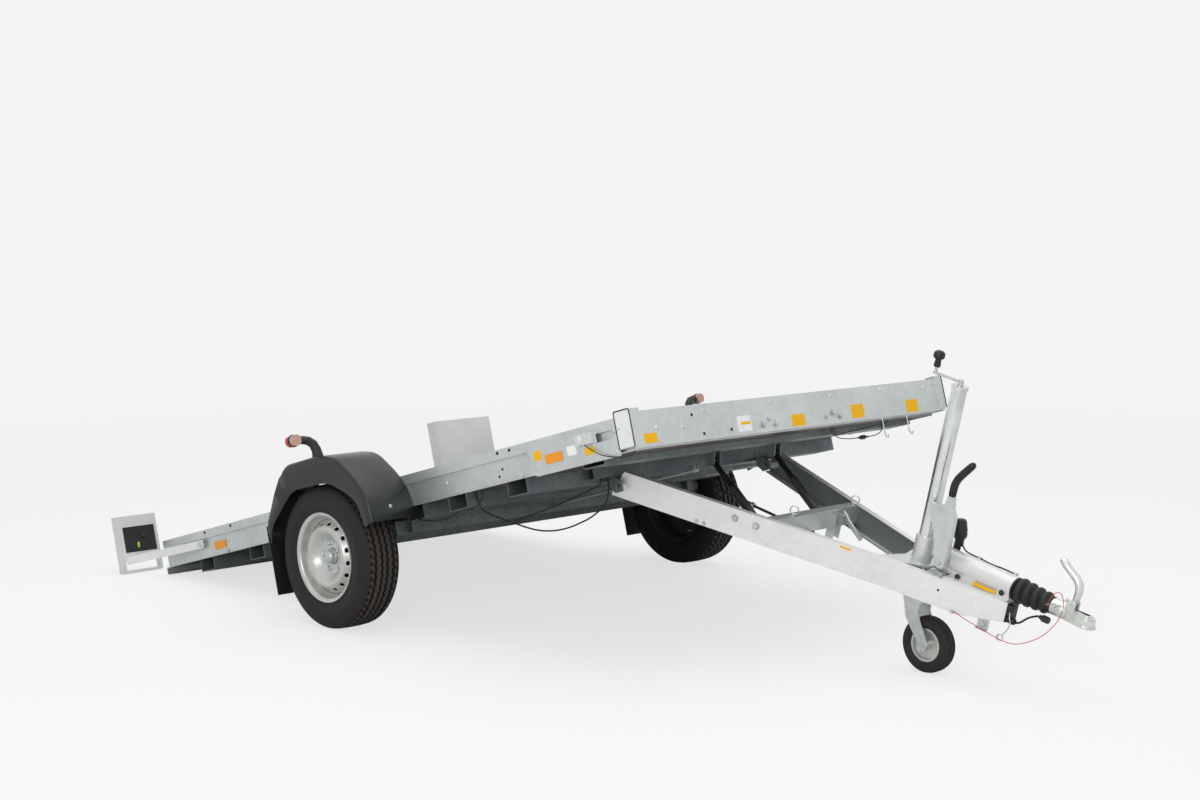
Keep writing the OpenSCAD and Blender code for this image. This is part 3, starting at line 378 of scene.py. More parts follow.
# film-faced birch plywood: dark brown resin with the faint print of a steel mesh
ply_film = finish("film_faced_plywood", "#3a2e27", 0.0, 0.42)
tints(ply_film, noise(ply_film, 200, 6), "#352b25", "#41352e")
relief(ply_film, waves(ply_film, 12, distortion=0.4), 0.4, 0.5)
print(len(bpy.data.materials), "finishes ready")

# %% [markdown]
# ## Dress the steelwork
# Each piece from the frame keeps its shape and takes the finish of the part it stands for. A
# table is easier to check than sixty lines, and the print shows at once if a piece was forgotten.

# %% Give every piece of the frame its finish
dress = {
    sheet_zinc: "side_rail_right side_rail_left front_panel corner_posts tail_beam drawbar_cross",
    pale_zinc: "stop_plate light_board_right light_board_left column_clamp",
    tube_zinc: "jockey_outer_tube",
    cast_zinc: "coupling_head coupling_handle",
    shaded_under_bed_zinc: "cross_channels strut_brackets hinge_beam axle trailing_arms",
    beam_zinc: "hinge_bosses board_arm_right board_arm_left",
    channel_zinc: "drawbar_beam_right drawbar_beam_left",
    bright_zinc: "latch_lever jockey_inner_tube jockey_fork crank_arm cord_clips brake_foot",
    cast_silver: "overrun_housing",
    wheel_silver: "rim_right rim_left jockey_rim",
    lever_grey: "brake_lever",
    satin_black: "strut_barrels",
    nitrided: "strut_rods",
    hard_chrome: "drawtube",
    fender_black: "fender_right fender_left",
    nylon_black: "marker_arms brake_grip plug_holder crank_knob tow_plug "
                 "tail_lamp_right tail_lamp_left",
    tyre_rubber: "tyre_right tyre_left jockey_tyre",
    soft_rubber: "mud_flaps bellows",
    cable_pvc: "plug_lead tow_lead deck_cables",
    red_pvc: "breakaway_cord",
    clear_lens: "front_lamps",
    rosy_lens: "marker_lenses_white",
    red_lens: "marker_lenses_red",
    amber_lens: "side_reflectors",
    ply_film: "floor_panel",
}
dressed = set()
for material, names in dress.items():
    for name in names.split():
        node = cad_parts[name]
        node.data.materials.clear()
        node.data.materials.append(material)
        dressed.add(name)
print("dressed", len(dressed), "pieces, left bare:", sorted(set(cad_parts) - dressed))

# %% [markdown]
# ## Cables
# The cables leave their exits straight, sag under their own weight and are held where the clips
# are. Each is a curve: a few points, handles that Blender smooths, and a round bevel for the
# sheath. The red one is the breakaway cable, which pulls the brake on if the trailer comes loose.
# The black ones carry the lamps' current.

# %% A cable from the points it passes through
def cable(name, route, thick, material, place, body, stands_for):
    line = bpy.data.curves.new(name, "CURVE")
    line.dimensions = "3D"
    line.resolution_u = 6
    line.bevel_depth = thick / 2000
    line.bevel_resolution = 3
    line.use_fill_caps = True
    spline = line.splines.new("BEZIER")
    spline.bezier_points.add(len(route) - 1)
    for point, spot in zip(spline.bezier_points, route):
        point.co = place @ Vector(spot)
        point.handle_left_type = point.handle_right_type = "AUTO"
    line.materials.append(material)
    piece = put(name, line)
    if stands_for:
        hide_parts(stands_for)
    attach(piece, body)


# %% Cables on the drawbar
breakaway_route = [
    (1760, -33.8, 114), (1761, -34, 124), (1764, -37, 140), (1769, -40, 156), (1778, -41, 172),
    (1790, -42, 183), (1804, -44, 186), (1817, -48, 179), (1827, -52, 165), (1833, -55, 145),
    (1835, -59, 118), (1829, -62, 91), (1817, -65, 63), (1801, -67, 35), (1780, -68, 8),
    (1752, -69, -18), (1720, -70, -42), (1688, -71, -58), (1652, -72, -66), (1600, -72, -67),
    (1548, -72, -62), (1494, -74, -56), (1450, -77, -50), (1424, -79, -45), (1407.3, -82.3, -44),
]
tow_route = [
    (1639.6, -20, -1), (1647, -20, 0), (1655, -20, 4), (1662, -21, 10), (1669, -21, 17),
    (1676, -22, 25), (1684, -22, 33), (1693, -23, 41), (1703, -23, 48), (1713, -24, 54),
    (1724, -24, 60), (1729, -24, 61.5), (1734.5, -24, 62),
]
parking_route = [
    (1305.6, 46, 168), (1314, 42, 164), (1324, 37, 160), (1338, 33, 157), (1356, 30, 156),
    (1380, 30, 155), (1401, 30, 155), (1412, 30, 155), (1432, 30, 153), (1476, 30, 153),
    (1500, 30, 155), (1562, 30, 155),
]
cable("breakaway_cable", breakaway_route, 3, red_pvc, BAR, "drawbar", "breakaway_cord")
cable("parking_lead", parking_route, 6, cable_pvc, BAR, "drawbar", "plug_lead")
cable("towing_lead", tow_route, 8, cable_pvc, BAR, "drawbar", "tow_lead")

# %% Cables under the bed's front corner
UNDER = 138.6  # the underside of the bed's channels, where the cables end
rail_route = [(u, -962, w) for u, w in (
    (322, UNDER), (322, 128), (330, 116), (356, 104), (420, 82), (511, 60), (590, 55), (650, 61), (700, 71),
    (757, 73), (815, 76), (850, 94), (868, 118), (870, 128), (870, UNDER))]
loom_route = [
    (758, -904, UNDER), (758, -902, 105), (764, -896, 66), (775, -864, 38), (791, -829, 14),
    (812, -790, -10), (840, -750, -38), (880, -718, -62), (921, -687, -75), (970, -651, -78),
    (1026, -616, -68), (1085, -580, -46), (1130, -548, -8), (1150, -534, 40), (1153, -530, 80),
    (1153, -530, 94.6),
]
stay_route = [
    (818, -780, -9), (870, -745, 2), (940, -700, 14), (1030, -640, 36), (1096, -604, 54),
    (1134, -580, 66), (1151, -570, 80), (1153, -570, 88), (1153, -570, 94.6),
]
for name, route in (("rail_lead", rail_route), ("lamp_loom", loom_route), ("loom_stay", stay_route)):
    cable(name, route, 7, cable_pvc, BED, "bed", "deck_cables")

# %% [markdown]
# ## Tools for new pieces
# The finer pieces are modelled in millimetres near the origin and moved to their place at the
# end. Turned parts come from a profile spun about the z axis, as on a lathe. Small parts of one
# kind are gathered in one mesh, because a trailer has dozens of bolts and nobody wants dozens of
# objects.

# %% Turn, gather and keep
def turned(profile, steps=48):
    """A profile of (radius, height) points, spun once round the z axis."""
    bm = bmesh.new()
    points = [bm.verts.new((r, 0, h)) for r, h in profile]
    line = [bm.edges.new(pair) for pair in zip(points, points[1:])]
    bmesh.ops.spin(bm, geom=points + line, cent=(0, 0, 0), axis=(0, 0, 1), angle=math.tau,
                   steps=steps, use_merge=True)
    bmesh.ops.remove_doubles(bm, verts=bm.verts[:], dist=0.01)
    bmesh.ops.recalc_face_normals(bm, faces=bm.faces[:])
    return bm


def gather(whole, part, place):
    """Moves a small mesh to its place and adds it to a bigger one."""
    bmesh.ops.transform(part, matrix=place, verts=part.verts[:])
    carrier = bpy.data.meshes.new("carrier")
    part.to_mesh(carrier)
    part.free()
    whole.from_mesh(carrier)
    bpy.data.meshes.remove(carrier)


def keep(name, bm, material, body, place=None, stands_for=(), sharp=35, modifiers=()):
    """Makes a finished mesh a piece that rides on a body."""
    if place is not None:
        bmesh.ops.transform(bm, matrix=place, verts=bm.verts[:])
    mesh = bpy.data.meshes.new(name)
    bm.to_mesh(mesh)
    bm.free()
    mesh.shade_smooth()
    mesh.set_sharp_from_angle(angle=math.radians(sharp))
    mesh.materials.append(material)
    piece = put(name, mesh)
    for kind, settings in modifiers:
        modifier = piece.modifiers.new(kind.title(), kind)
        for setting, value in settings.items():
            setattr(modifier, setting, value)
    if stands_for:
        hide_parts(*stands_for)
    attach(piece, body)
    print(name, "has", len(mesh.polygons), "faces and rides on", body)
    return piece


def shift(x, y, z):
    return Matrix.Translation((x, y, z))


def turn(degrees, axis):
    return Matrix.Rotation(math.radians(degrees), 4, axis)


# %% [markdown]
# ## Road tyres
# A trailer's tyre has straight ribs, parted by grooves that zigzag so that the ribs grip sideways
# too. The carcass is a turned profile. Then every second ring of groove points is pushed to one
# side and the others back. The small cuts in the shoulder are faces inset and sunk one by one.

# %% Tyres with a zigzag tread
TYRE_HALF = [
    (183, 81.5), (196, 84.5), (207, 88.5), (226, 94), (232, 96.5), (245, 97.4), (258, 97.3),
    (262, 96.4), (266, 95.2), (280, 92.5), (292, 88.5), (300, 84), (306, 79), (309.5, 73),
    (311.5, 61), (312.4, 55), (302, 52), (302, 41), (313, 38), (313.6, 30), (313.8, 21),
    (303, 19), (303, 9), (314, 6),
]
STEPS = 120
HUB_Y = 1085
HUBS = {side: BED @ shift(0, sign * HUB_Y, 0) @ turn(-90 * sign, "X") for side, sign in SIDES}
ZIGZAG, CUT_EDGE, CUT_DEPTH = 3.8, 1.8, 7


def ring_step(point, steps):
    """How many steps of a full turn a point has gone round the z axis."""
    return math.atan2(point.y, point.x) * steps / math.tau


for side, hub in HUBS.items():
    far_side = [(r, -a) for r, a in reversed(TYRE_HALF)]
    bm = turned(TYRE_HALF + far_side + TYRE_HALF[:1], STEPS)
    for vert in bm.verts:
        near_groove = 5 < abs(vert.co.z) < 24 or 37 < abs(vert.co.z) < 57
        if math.hypot(vert.co.x, vert.co.y) > 303 and near_groove:
            vert.co.z += ZIGZAG if round(ring_step(vert.co, STEPS)) % 2 else -ZIGZAG
    middles = [(face, face.calc_center_median()) for face in bm.faces]
    cuts = [face for face, mid in middles
            if 61 < abs(mid.z) < 73 and math.floor(ring_step(mid, STEPS)) % 2]
    bmesh.ops.inset_individual(bm, faces=cuts, thickness=CUT_EDGE, depth=-CUT_DEPTH)
    keep("road_tyre_" + side, bm, tread_rubber, "wheel_" + side, hub, ["tyre_" + side], sharp=28)

# %% [markdown]
# ## Road wheels
# A pressed steel wheel is a rolled rim welded to a disc with a ring of slots that let air to the
# brake. The disc is spun as a thin skin, faces are taken out for the sixteen slots, and Solidify
# gives the sheet its 4 mm. One level of subdivision rounds the slots, as the press does. Behind
# the disc sits the brake drum, bare iron.

# %% Rims, discs, drums, caps and wheel bolts
RIM_OUTER = [
    (169, 10), (169, 53.5), (183, 65.5), (183, 82.5), (195, 84.5), (195, 91.5), (190, 91.5), (180, 86),
    (177, 80), (175, 63.5), (163, 49.5), (163, 10), (169, 10),
]
RIM_INNER = [
    (195, -91.5), (195, -84.5), (183, -82.5), (183, -63.5), (169, -47.5), (169, 10), (163, 10),
    (163, -45.5), (175, -61.5), (177, -84), (190, -91.5), (195, -91.5),
]
DISC = [
    (33, 44), (50, 44), (66, 44), (76, 48), (90, 64), (102, 76), (113, 84), (124, 86), (132, 83),
    (137, 77), (139.5, 73), (150.5, 59), (153, 55), (158, 50), (163.2, 47),
]

for side, hub in HUBS.items():
    body = "wheel_" + side
    keep("rim_barrel_" + side, turned(RIM_OUTER, 96), wheel_silver, body, hub, ["rim_" + side], sharp=40)
    # the rim's inner half carries painted shade, nearly black
    keep("rim_inner_" + side, turned(RIM_INNER, 96), shaded_rim_lacquer, body, hub, sharp=40)
    disc = turned(DISC, 96)
    if sum(face.normal.z for face in disc.faces) < 0:
        bmesh.ops.reverse_faces(disc, faces=disc.faces[:])
    middles = [(face, face.calc_center_median()) for face in disc.faces]
    slots = [face for face, mid in middles
             if 142 < mid.xy.length < 150 and math.floor(ring_step(mid, 96)) % 6 < 2]
    bmesh.ops.delete(disc, geom=slots, context="FACES")
    keep("wheel_disc_" + side, disc, wheel_silver, body, hub, modifiers=[
        ("SOLIDIFY", {"thickness": 0.004, "offset": -1.0}),
        ("SUBSURF", {"levels": 1, "render_levels": 1})])
    drum = turned([(0, 40), (64, 40), (67, 28), (118, 24), (126, 16), (128, -10), (126, -36), (0, -36)], 64)
    keep("brake_drum_" + side, drum, drum_iron, body, hub)
    bright = turned([(0, 77), (12, 76.5), (20, 74), (25, 69), (28, 61), (30, 49), (33, 47), (33, 39)], 48)
    for i in range(5):
        head = turned([(0, 14), (8, 14), (9.6, 12.5), (9.8, 4), (13, 2), (14, 0)], 6)
        gather(bright, head, turn(72 * i + 18, "Z") @ shift(59, 0, 44))
    keep("hub_cap_and_bolts_" + side, bright, bright_zinc, body, hub)
    plate = turned([(19, -38.5), (150, -38.5), (158, -42), (158, -44), (150, -46), (19, -46)], 64)
    keep("brake_backplate_" + side, plate, satin_black, "bed", hub)

# %% [markdown]
# ## Mudguards
# A mudguard is formed over a mould, so its corners are well rounded and its wall is even. It
# starts as the line of its arch seen from the side. The line's corners are rounded; then it is
# pulled out sideways to make the top, and inwards to make the skirt. The edge between them is
# bevelled and Solidify adds the wall.

# %% Two rounded mudguards
ARCH = [(-358, 120), (-358, 200), (-225, 351), (-150, 430), (110, 430), (232, 402), (350, 290),
        (402, 212), (418, 96)]
SKIRT = [26, 46, 92, 122, 122, 118, 84, 66, 56]
FENDER_Y, FENDER_WIDE = 970, 231


def skirt_depth(u, w):
    """How far the skirt reaches in, read from the table by the angle round the wheel."""
    angle = math.atan2(w, u)
    stops = [(math.atan2(b, a), depth) for (a, b), depth in zip(ARCH, SKIRT)]
    for (high, before_it), (low, after_it) in zip(stops, stops[1:]):
        if low <= angle <= high:
            return before_it + (high - angle) / (high - low) * (after_it - before_it)
    return SKIRT[0] if angle > stops[0][0] else SKIRT[-1]


for side, sign in SIDES:
    bm = bmesh.new()
    points = [bm.verts.new((u, sign * FENDER_Y, w)) for u, w in ARCH]
    for pair in zip(points, points[1:]):
        bm.edges.new(pair)
    bmesh.ops.bevel(bm, geom=points[1:-1], affect="VERTICES", offset=42, segments=4, profile=0.5,
                    material=-1)
    made = bmesh.ops.extrude_edge_only(bm, edges=bm.edges[:])["geom"]
    rim = [g for g in made if isinstance(g, bmesh.types.BMVert)]
    bmesh.ops.translate(bm, verts=rim, vec=(0, sign * FENDER_WIDE, 0))
    rim_edges = [e for e in bm.edges
                 if all(abs(v.co.y) > FENDER_Y + FENDER_WIDE - 1 for v in e.verts)]
    made = bmesh.ops.extrude_edge_only(bm, edges=rim_edges)["geom"]
    for vert in (g for g in made if isinstance(g, bmesh.types.BMVert)):
        reach = math.hypot(vert.co.x, vert.co.z)
        share = 1 - skirt_depth(vert.co.x, vert.co.z) / reach
        vert.co.x, vert.co.z = vert.co.x * share, vert.co.z * share
    bmesh.ops.bevel(bm, geom=rim_edges, affect="EDGES", offset=14, segments=5, profile=0.5,
                    material=-1, clamp_overlap=True)
    bmesh.ops.recalc_face_normals(bm, faces=bm.faces[:])
    top = max(bm.faces, key=lambda face: face.calc_center_median().z)
    if top.normal.z < 0:
        bmesh.ops.reverse_faces(bm, faces=bm.faces[:])
    keep("mudguard_" + side, bm, fender_black, "bed", BED, ["fender_" + side], sharp=50, modifiers=[
        ("SOLIDIFY", {"thickness": 0.005, "offset": -1.0}),
        ("BEVEL", {"width": 0.0015, "segments": 2, "limit_method": "ANGLE", "angle_limit": 1.0})])

# %% [markdown]
# ## The bellows
# A rubber bellows keeps grit off the sliding tube. Its folds are smaller towards the coupling.

# %% A bellows with round folds
BELLOWS_BACK, BELLOWS_FRONT, TUBE_Q = 1598, 1764, 115
fold = (BELLOWS_FRONT - BELLOWS_BACK - 22) / 4
outline = [(26.2, 0), (43, 0), (44, 3), (44, 8), (37, 11)]
for i in range(4):
    start, crest, valley = 12 + i * fold, 50 - 2.6 * i, 38 - 2 * i
    outline += [(crest - 5, start + fold * 0.14), (crest - 0.8, start + fold * 0.3),
                (crest, start + fold * 0.45), (crest - 0.8, start + fold * 0.6),
                (crest - 5, start + fold * 0.76), (valley, start + fold * 0.9)]
outline += [(31, 157), (33, 158), (33, 165.5), (26.2, 165.5), (26.2, 0)]
ALONG_BAR = BAR @ shift(BELLOWS_BACK, 0, TUBE_Q) @ turn(90, "Y")
bellows = keep("rubber_bellows", turned(outline, 64), soft_rubber, "drawbar", ALONG_BAR, ["bellows"], sharp=60)
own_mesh(bellows)

# %% [markdown]
# ## Faces to draw on
# Films, bolts and lamps sit on flat faces of the trailer. Each face gets a matrix whose x and z
# lie along it, while -y points out of it. A label or a bolt is then placed with two numbers,
# which were read off the photograph.

# %% The flat faces
PANEL_U, TAIL_U = 1790, -1808
RAIL_Y, COVER_Y = 954, 973
BAR_Y, BAR_YAW = 485, 17.07
BEND_P, BEND_Y, NOSE_YAW = 1120, 141, 12.34
BAR_SLANT, NOSE_SLANT = (1 / math.cos(math.radians(yaw)) for yaw in (BAR_YAW, NOSE_YAW))
THICK_ENOUGH = 3
PANEL = BED @ shift(PANEL_U, 0, 0) @ turn(90, "Z")
BEAM_WEB = BAR @ shift(0, -BAR_Y, 0) @ turn(BAR_YAW, "Z")
NOSE_WEB = BAR @ shift(BEND_P, -BEND_Y, 0) @ turn(NOSE_YAW, "Z")
HOUSING_SIDE = BAR @ shift(0, -44, 0)


def both_sides(frame_of, y, angle=0.0):
    """The same face on the right and, turned round, on the left; a place x there is x * way."""
    right_face = frame_of @ shift(0, -y, 0) @ turn(angle, "Z")
    left_face = frame_of @ shift(0, y, 0) @ turn(180 - angle, "Z")
    return (right_face, 1), (left_face, -1)


def slab(whole, face, x0, x1, z0, z1, out=0.6, corner=4.0, back=0.5):
    """A flat plate on a face, standing out by a few millimetres, with rounded corners."""
    part = bmesh.new()
    bmesh.ops.create_cube(part, size=1.0)
    bmesh.ops.scale(part, vec=(abs(x1 - x0), out + back, z1 - z0), verts=part.verts[:])
    bmesh.ops.translate(part, vec=((x0 + x1) / 2, (back - out) / 2, (z0 + z1) / 2), verts=part.verts[:])
    upright_edges = [e for e in part.edges if abs(e.verts[0].co.y - e.verts[1].co.y) > 0.1]
    bmesh.ops.bevel(part, geom=upright_edges, affect="EDGES", offset=corner, segments=4, profile=0.5,
                    material=-1)
    if out > THICK_ENOUGH:
        front = [e for e in part.edges if all(abs(v.co.y + out) < 0.01 for v in e.verts)]
        bmesh.ops.bevel(part, geom=front, affect="EDGES", offset=min(1.5, out / 4), segments=2,
                        profile=0.5, material=-1)
    gather(whole, part, face)


def bolt(whole, face, x, z, across=17, out=0.0):
    """A flanged hexagon bolt, its head 0.6 as high as it is wide."""
    high, flange = across * 0.6, across * 0.75
    part = turned([(0, high), (across * 0.5, high), (across * 0.577, high - 1.2), (across * 0.577, 1.5)], 6)
    washer = turned([(across * 0.55, 2.5), (flange, 2.2), (flange, -0.5)], 24)
    stand = face @ shift(x, -out, z) @ turn(90, "X")
    gather(whole, part, stand)
    gather(whole, washer, stand)


def dome(whole, face, x, z, radius=6, high=3, out=0.0):
    """The round head of a screw or rivet."""
    part = turned([(0, high), (radius * 0.4, high * 0.94), (radius * 0.75, high * 0.65), (radius, 0),
                   (radius, -0.5)], 20)
    gather(whole, part, face @ shift(x, -out, z) @ turn(90, "X"))


def tube(whole, place, points, radius, sides=10, closed=False):
    """A bent round bar through these points: small rings joined up, of one radius or a list of them."""
    spots = [Vector(p) for p in points]
    sizes = radius if isinstance(radius, list) else [radius] * len(spots)
    rings = []
    for i, spot in enumerate(spots):
        if closed:
            ahead_of, behind = spots[(i + 1) % len(spots)], spots[i - 1]
        else:
            ahead_of, behind = spots[min(i + 1, len(spots) - 1)], spots[max(i - 1, 0)]
        along = (ahead_of - behind).to_track_quat("Z", "Y").to_matrix().to_4x4()
        ring = bmesh.ops.create_circle(whole, cap_ends=False, radius=sizes[i], segments=sides,
                                       matrix=place @ Matrix.Translation(spot) @ along)["verts"]
        rings.append([e for e in {e for v in ring for e in v.link_edges}])
    pairs = list(zip(rings, rings[1:])) + ([(rings[-1], rings[0])] if closed else [])
    for one, two in pairs:
        bmesh.ops.bridge_loops(whole, edges=one + two)
    if not closed:
        for end in (rings[0], rings[-1]):
            bmesh.ops.holes_fill(whole, edges=end, sides=sides)


def loop(radius, middle=(0, 0, 0), count=20, flat="y"):
    """Points round a circle that stands upright across x and z, or lies across x and y."""
    points = []
    for i in range(count):
        c, s = radius * math.cos(math.tau * i / count), radius * math.sin(math.tau * i / count)
        points.append(Vector(middle) + (Vector((c, 0, s)) if flat == "y" else Vector((c, s, 0))))
    return points


print("panel face centre at", [round(v, 3) for v in PANEL @ Vector((0, 0, 200))])

# %% [markdown]
# ## Films and plates
# Along the front edge and the sides are small squares of reflective film, with rounded corners
# because a sharp corner lifts. The white ones carry notes on the real trailer and are left blank
# here.

# %% Reflective and blank films
films = bmesh.new()
for x0, x1, z0, z1 in ((-924, -848, 158, 195), (-67, 13, 152, 200), (317, 399, 155, 212),
                       (693, 775, 151, 206)):
    slab(films, PANEL, x0, x1, z0, z1)
for face, way in both_sides(BED, COVER_Y):
    for x0, x1, z0, z1 in ((1227, 1270, 191, 230), (1519, 1573, 164, 192)):
        slab(films, face, x0 * way, x1 * way, z0, z1)
slab(films, PANEL, -372, -318, 184, 196, out=1.0, corner=1)
keep("yellow_films_bed", films, yellow_film, "bed")

films = bmesh.new()
slab(films, BEAM_WEB, 923 * BAR_SLANT, 971 * BAR_SLANT, 48, 56)
slab(films, HOUSING_SIDE, 1438, 1542, 76, 88)
keep("yellow_films_drawbar", films, yellow_film, "drawbar")

blanks = bmesh.new()
slab(blanks, PANEL, -393, -312, 157, 220)
slab(blanks, BED @ shift(0, -COVER_Y, 0), 1421, 1474, 178, 216)
keep("blank_films", blanks, white_film, "bed")

# %% [markdown]
# ## Bolts, screws and grommets
# The front panel is bolted to the floor's channels, the corner plates are screwed on, and two
# bolts through each beam hold the drawbar's cross tube. The heads are galvanised like the sheet,
# but brighter, since they were put on new.

# %% Fasteners on the bed
heads = bmesh.new()
for x, z in ((-938, 223), (-839, 215), (-571, 258), (-175, 262), (202, 258), (538, 262),
             (907, 258), (840, 250), (-700, 205)):
    dome(heads, PANEL, x, z, 8, 4)
for x, z, across in ((-246, 176, 21), (-204, 196, 15), (-168, 174, 21), (150, 176, 15), (196, 190, 21),
                     (238, 172, 21)):
    bolt(heads, PANEL, x, z, across)
for face, way in both_sides(BED, COVER_Y):
    for x, z in ((1726, 230), (1695, 224), (1230, 160), (1690, 150)):
        dome(heads, face, x * way, z, 8, 4)
for face, way in both_sides(BED, RAIL_Y):
    for x, z in ((-1226, 205), (-1180, 196), (640, 200), (360, 200), (-620, 200)):
        dome(heads, face, x * way, z, 8, 4)
    for x in (-1080, -660, 30, 700, 1120):
        bolt(heads, face, x * way, 150, 13)
for y in (-HUB_Y, HUB_Y):
    dome(heads, BED @ shift(409, 0, 0) @ turn(90, "Z"), y, 152, 9, 5)
keep("bed_fasteners", heads, bright_zinc, "bed", sharp=30)

plugs = bmesh.new()
for x, z in ((-640, 246), (-590, 168), (-432, 172)):
    dome(plugs, PANEL, x, z, 7, 2.5)
for face, way in both_sides(BED, 970):
    for x in (-1240, -1005, 1010, 1085):
        dome(plugs, face, x * way, 262, 7, 5)
for face, way in both_sides(BED, RAIL_Y):
    for x, z in ((1005, 196), (980, 170)):
        dome(plugs, face, x * way, z, 6, 3)
keep("rubber_grommets", plugs, soft_rubber, "bed")

# %% Fasteners on the drawbar
heads = bmesh.new()
for face, way in both_sides(BAR, BAR_Y, BAR_YAW):
    for x, z, across in ((492, 25, 21), (582, 21, 21), (338, -40, 13), (369, -40, 13)):
        bolt(heads, face, x * BAR_SLANT * way, z, across)
for x, y in ((1345, -52), (1400, 48), (1450, -40), (1560, 40)):
    bolt(heads, BAR @ turn(-90, "X"), x, y, 17, out=62)
keep("drawbar_fasteners", heads, bright_zinc, "drawbar", sharp=30)
caps = bmesh.new()
for x, z in ((1368, 77), (1567, 92)):
    dome(caps, HOUSING_SIDE, x, z, 11, 7)
dome(caps, NOSE_WEB, (1332 - BEND_P) * NOSE_SLANT, 16, 5, 1.0)
keep("housing_caps", caps, nylon_black, "drawbar")

# %% [markdown]
# ## Lamps
# The rear lamps look backwards, so from the front only their black backs show. Their lenses are
# three blocks in one frame: red for tail and brake, amber for turning, clear for reversing. The
# front lamps are small clear domes on their bases.

# %% Lenses of the rear and front lamps
LENSES = (("red", red_lens, 22, 98, 258, 371), ("amber", amber_lens, 101, 188, 316, 371),
          ("clear", clear_lens, 101, 188, 258, 313))
for side, sign in SIDES:
    face = BED @ shift(TAIL_U, sign * 908, 0) @ turn(-90, "Z")
    for colour, acrylic, x0, x1, z0, z1 in LENSES:
        block = bmesh.new()
        slab(block, face, -sign * x0, -sign * x1, z0, z1, out=5, corner=5)
        keep("rear_lens_%s_%s" % (colour, side), block, acrylic, "light_arm_" + side)

domes = bmesh.new()
for face, way in both_sides(BED, 992):
    part = turned([(0, 13), (8, 12.4), (14, 10), (18, 5), (19, -1)], 32)
    gather(domes, part, face @ shift(1520 * way, 0, 226) @ turn(90, "X"))
keep("front_lamp_domes", domes, clear_lens, "bed")

# %% [markdown]
# ## Corner covers and edge strips
# The bed's front corners are capped with bright plates, and black rubber strips close the gaps
# round them. A strip is a bent round bar here: rings set along its points and bridged.

# %% Covers and strips
covers, strips = bmesh.new(), bmesh.new()
for face, way in both_sides(BED, COVER_Y + 1):
    slab(covers, face, 1713 * way, PANEL_U * way, 156, 292, out=1.2, corner=5)
    tube(strips, BED, [(u, -(COVER_Y + 2) * way, w) for u, w in (
        (1710, 153), (1710, 225), (1710, 292), (1714, 296.5), (1750, 296.5), (1790, 296.5),
        (1794.5, 292), (1794.5, 225), (1794.5, 153))], 2.2)
keep("corner_covers", covers, beam_zinc, "bed")
keep("corner_strips", strips, soft_rubber, "bed")

# %% [markdown]
# ## Pins, hooks and rods
# Two pins with pull rings lock the cross tube. A spring hook for the breakaway cable hangs below
# the drawbar's nose, and two lashing hooks hang under the front panel. The brake rod runs from
# the overrun housing back to the axle, in two parts that meet at the hinge.

# %% Ring pins and hooks
pins = bmesh.new()
for y in (-128, 262):
    tube(pins, BAR, [(612, y, 30), (612, y, 50), (612, y, 66)], 5)
    tube(pins, BAR @ shift(617, y, 80) @ turn(35, "Z") @ turn(24, "Y"), loop(17), 2.6, closed=True)
tube(pins, BAR, [(1616, -33, 34), (1622, -40, 18), (1632, -42, -4), (1630, -42, -26), (1618, -41, -48),
                 (1608, -40, -62)], 2.4)
ring = BAR @ shift(1602, -40, -74)
tube(pins, ring @ turn(20, "Z"), loop(12), 2.4, closed=True)
tube(pins, ring, [(-3, 0, 11), (-9, 0, 3), (-8, 0, -6), (0, 0, -12)], 1.6)
keep("ring_pins_and_hook", pins, bright_zinc, "drawbar", sharp=50)

hooks = bmesh.new()
for y in (520, 690):
    tube(hooks, BED @ shift(1783, y, 0), [(0, v, w) for v, w in (
        (0, 142), (0, 128), (0, 108), (0, 84), (2, 70), (8, 60), (17, 58), (23, 63), (24, 70))], 2.6)
keep("lashing_hooks", hooks, bright_zinc, "bed", sharp=50)

# %% Brake rod and its hangers
rod, rod_nuts = bmesh.new(), bmesh.new()
tube(rod, BAR, [(1264, 0, -22), (900, 0, -26), (612, 0, -29), (300, 0, -31), (90, 0, -33)], 6)
tube(rod, BAR, [(90, -14, -33), (90, 0, -33), (90, 14, -33)], 7)
for y in (-9, 13):
    slab(rod, BAR @ shift(0, y, 0), 594, 630, -40, -18, out=2, corner=3)
for p in (240, 300):
    nut = turned([(0, 8), (13, 8), (14, 6), (14, -6), (13, -8), (0, -8)], 6)
    gather(rod_nuts, nut, BAR @ shift(p, 0, -31) @ turn(90, "Y"))
tube(rod_nuts, BAR, [(240, 0, -31), (300, 0, -31)], 10)
keep("brake_rod_drawbar", rod, satin_black, "drawbar", sharp=50)
keep("brake_rod_turnbuckle", rod_nuts, bright_zinc, "drawbar", sharp=50)
rod = bmesh.new()
tube(rod, BED, [(1090, 0, 74), (800, 0, 72), (500, 0, 69), (215, 0, 66)], 6)
for y in (-8, 10):
    slab(rod, BED @ shift(0, y, 0), 1138, 1158, 66, 97, out=2, corner=3)
tube(rod, BED, [(1148, -12, 74), (1148, 12, 74)], 5)
tube(rod, BED, [(1090, 0, 74), (1148, 0, 74)], 5)
keep("brake_rod_bed", rod, lever_grey, "bed", sharp=50)

# %% Tow-end bracket, lever bolts and the support wheel's nuts
brackets, nuts = bmesh.new(), bmesh.new()
web = BAR @ shift(0, -46, 0)
slab(brackets, web, 1500, 1548, -72, -22, out=2, corner=6, back=2)
slab(brackets, web, 1500, 1548, -72, -68, out=14, corner=1, back=2)
keep("nose_bracket", brackets, bright_zinc, "drawbar")
lever_out = -1000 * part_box("brake_lever")[0][1]
for p, q, across, out in ((1524, -48, 15, 50), (1292, 112, 19, lever_out), (1788, 115, 15, 31)):
    bolt(nuts, BAR, p, q, across, out)
keep("drawbar_nuts", nuts, bright_zinc, "drawbar", sharp=30)
print("the brake lever's near face is", round(lever_out, 1), "mm right of the middle")

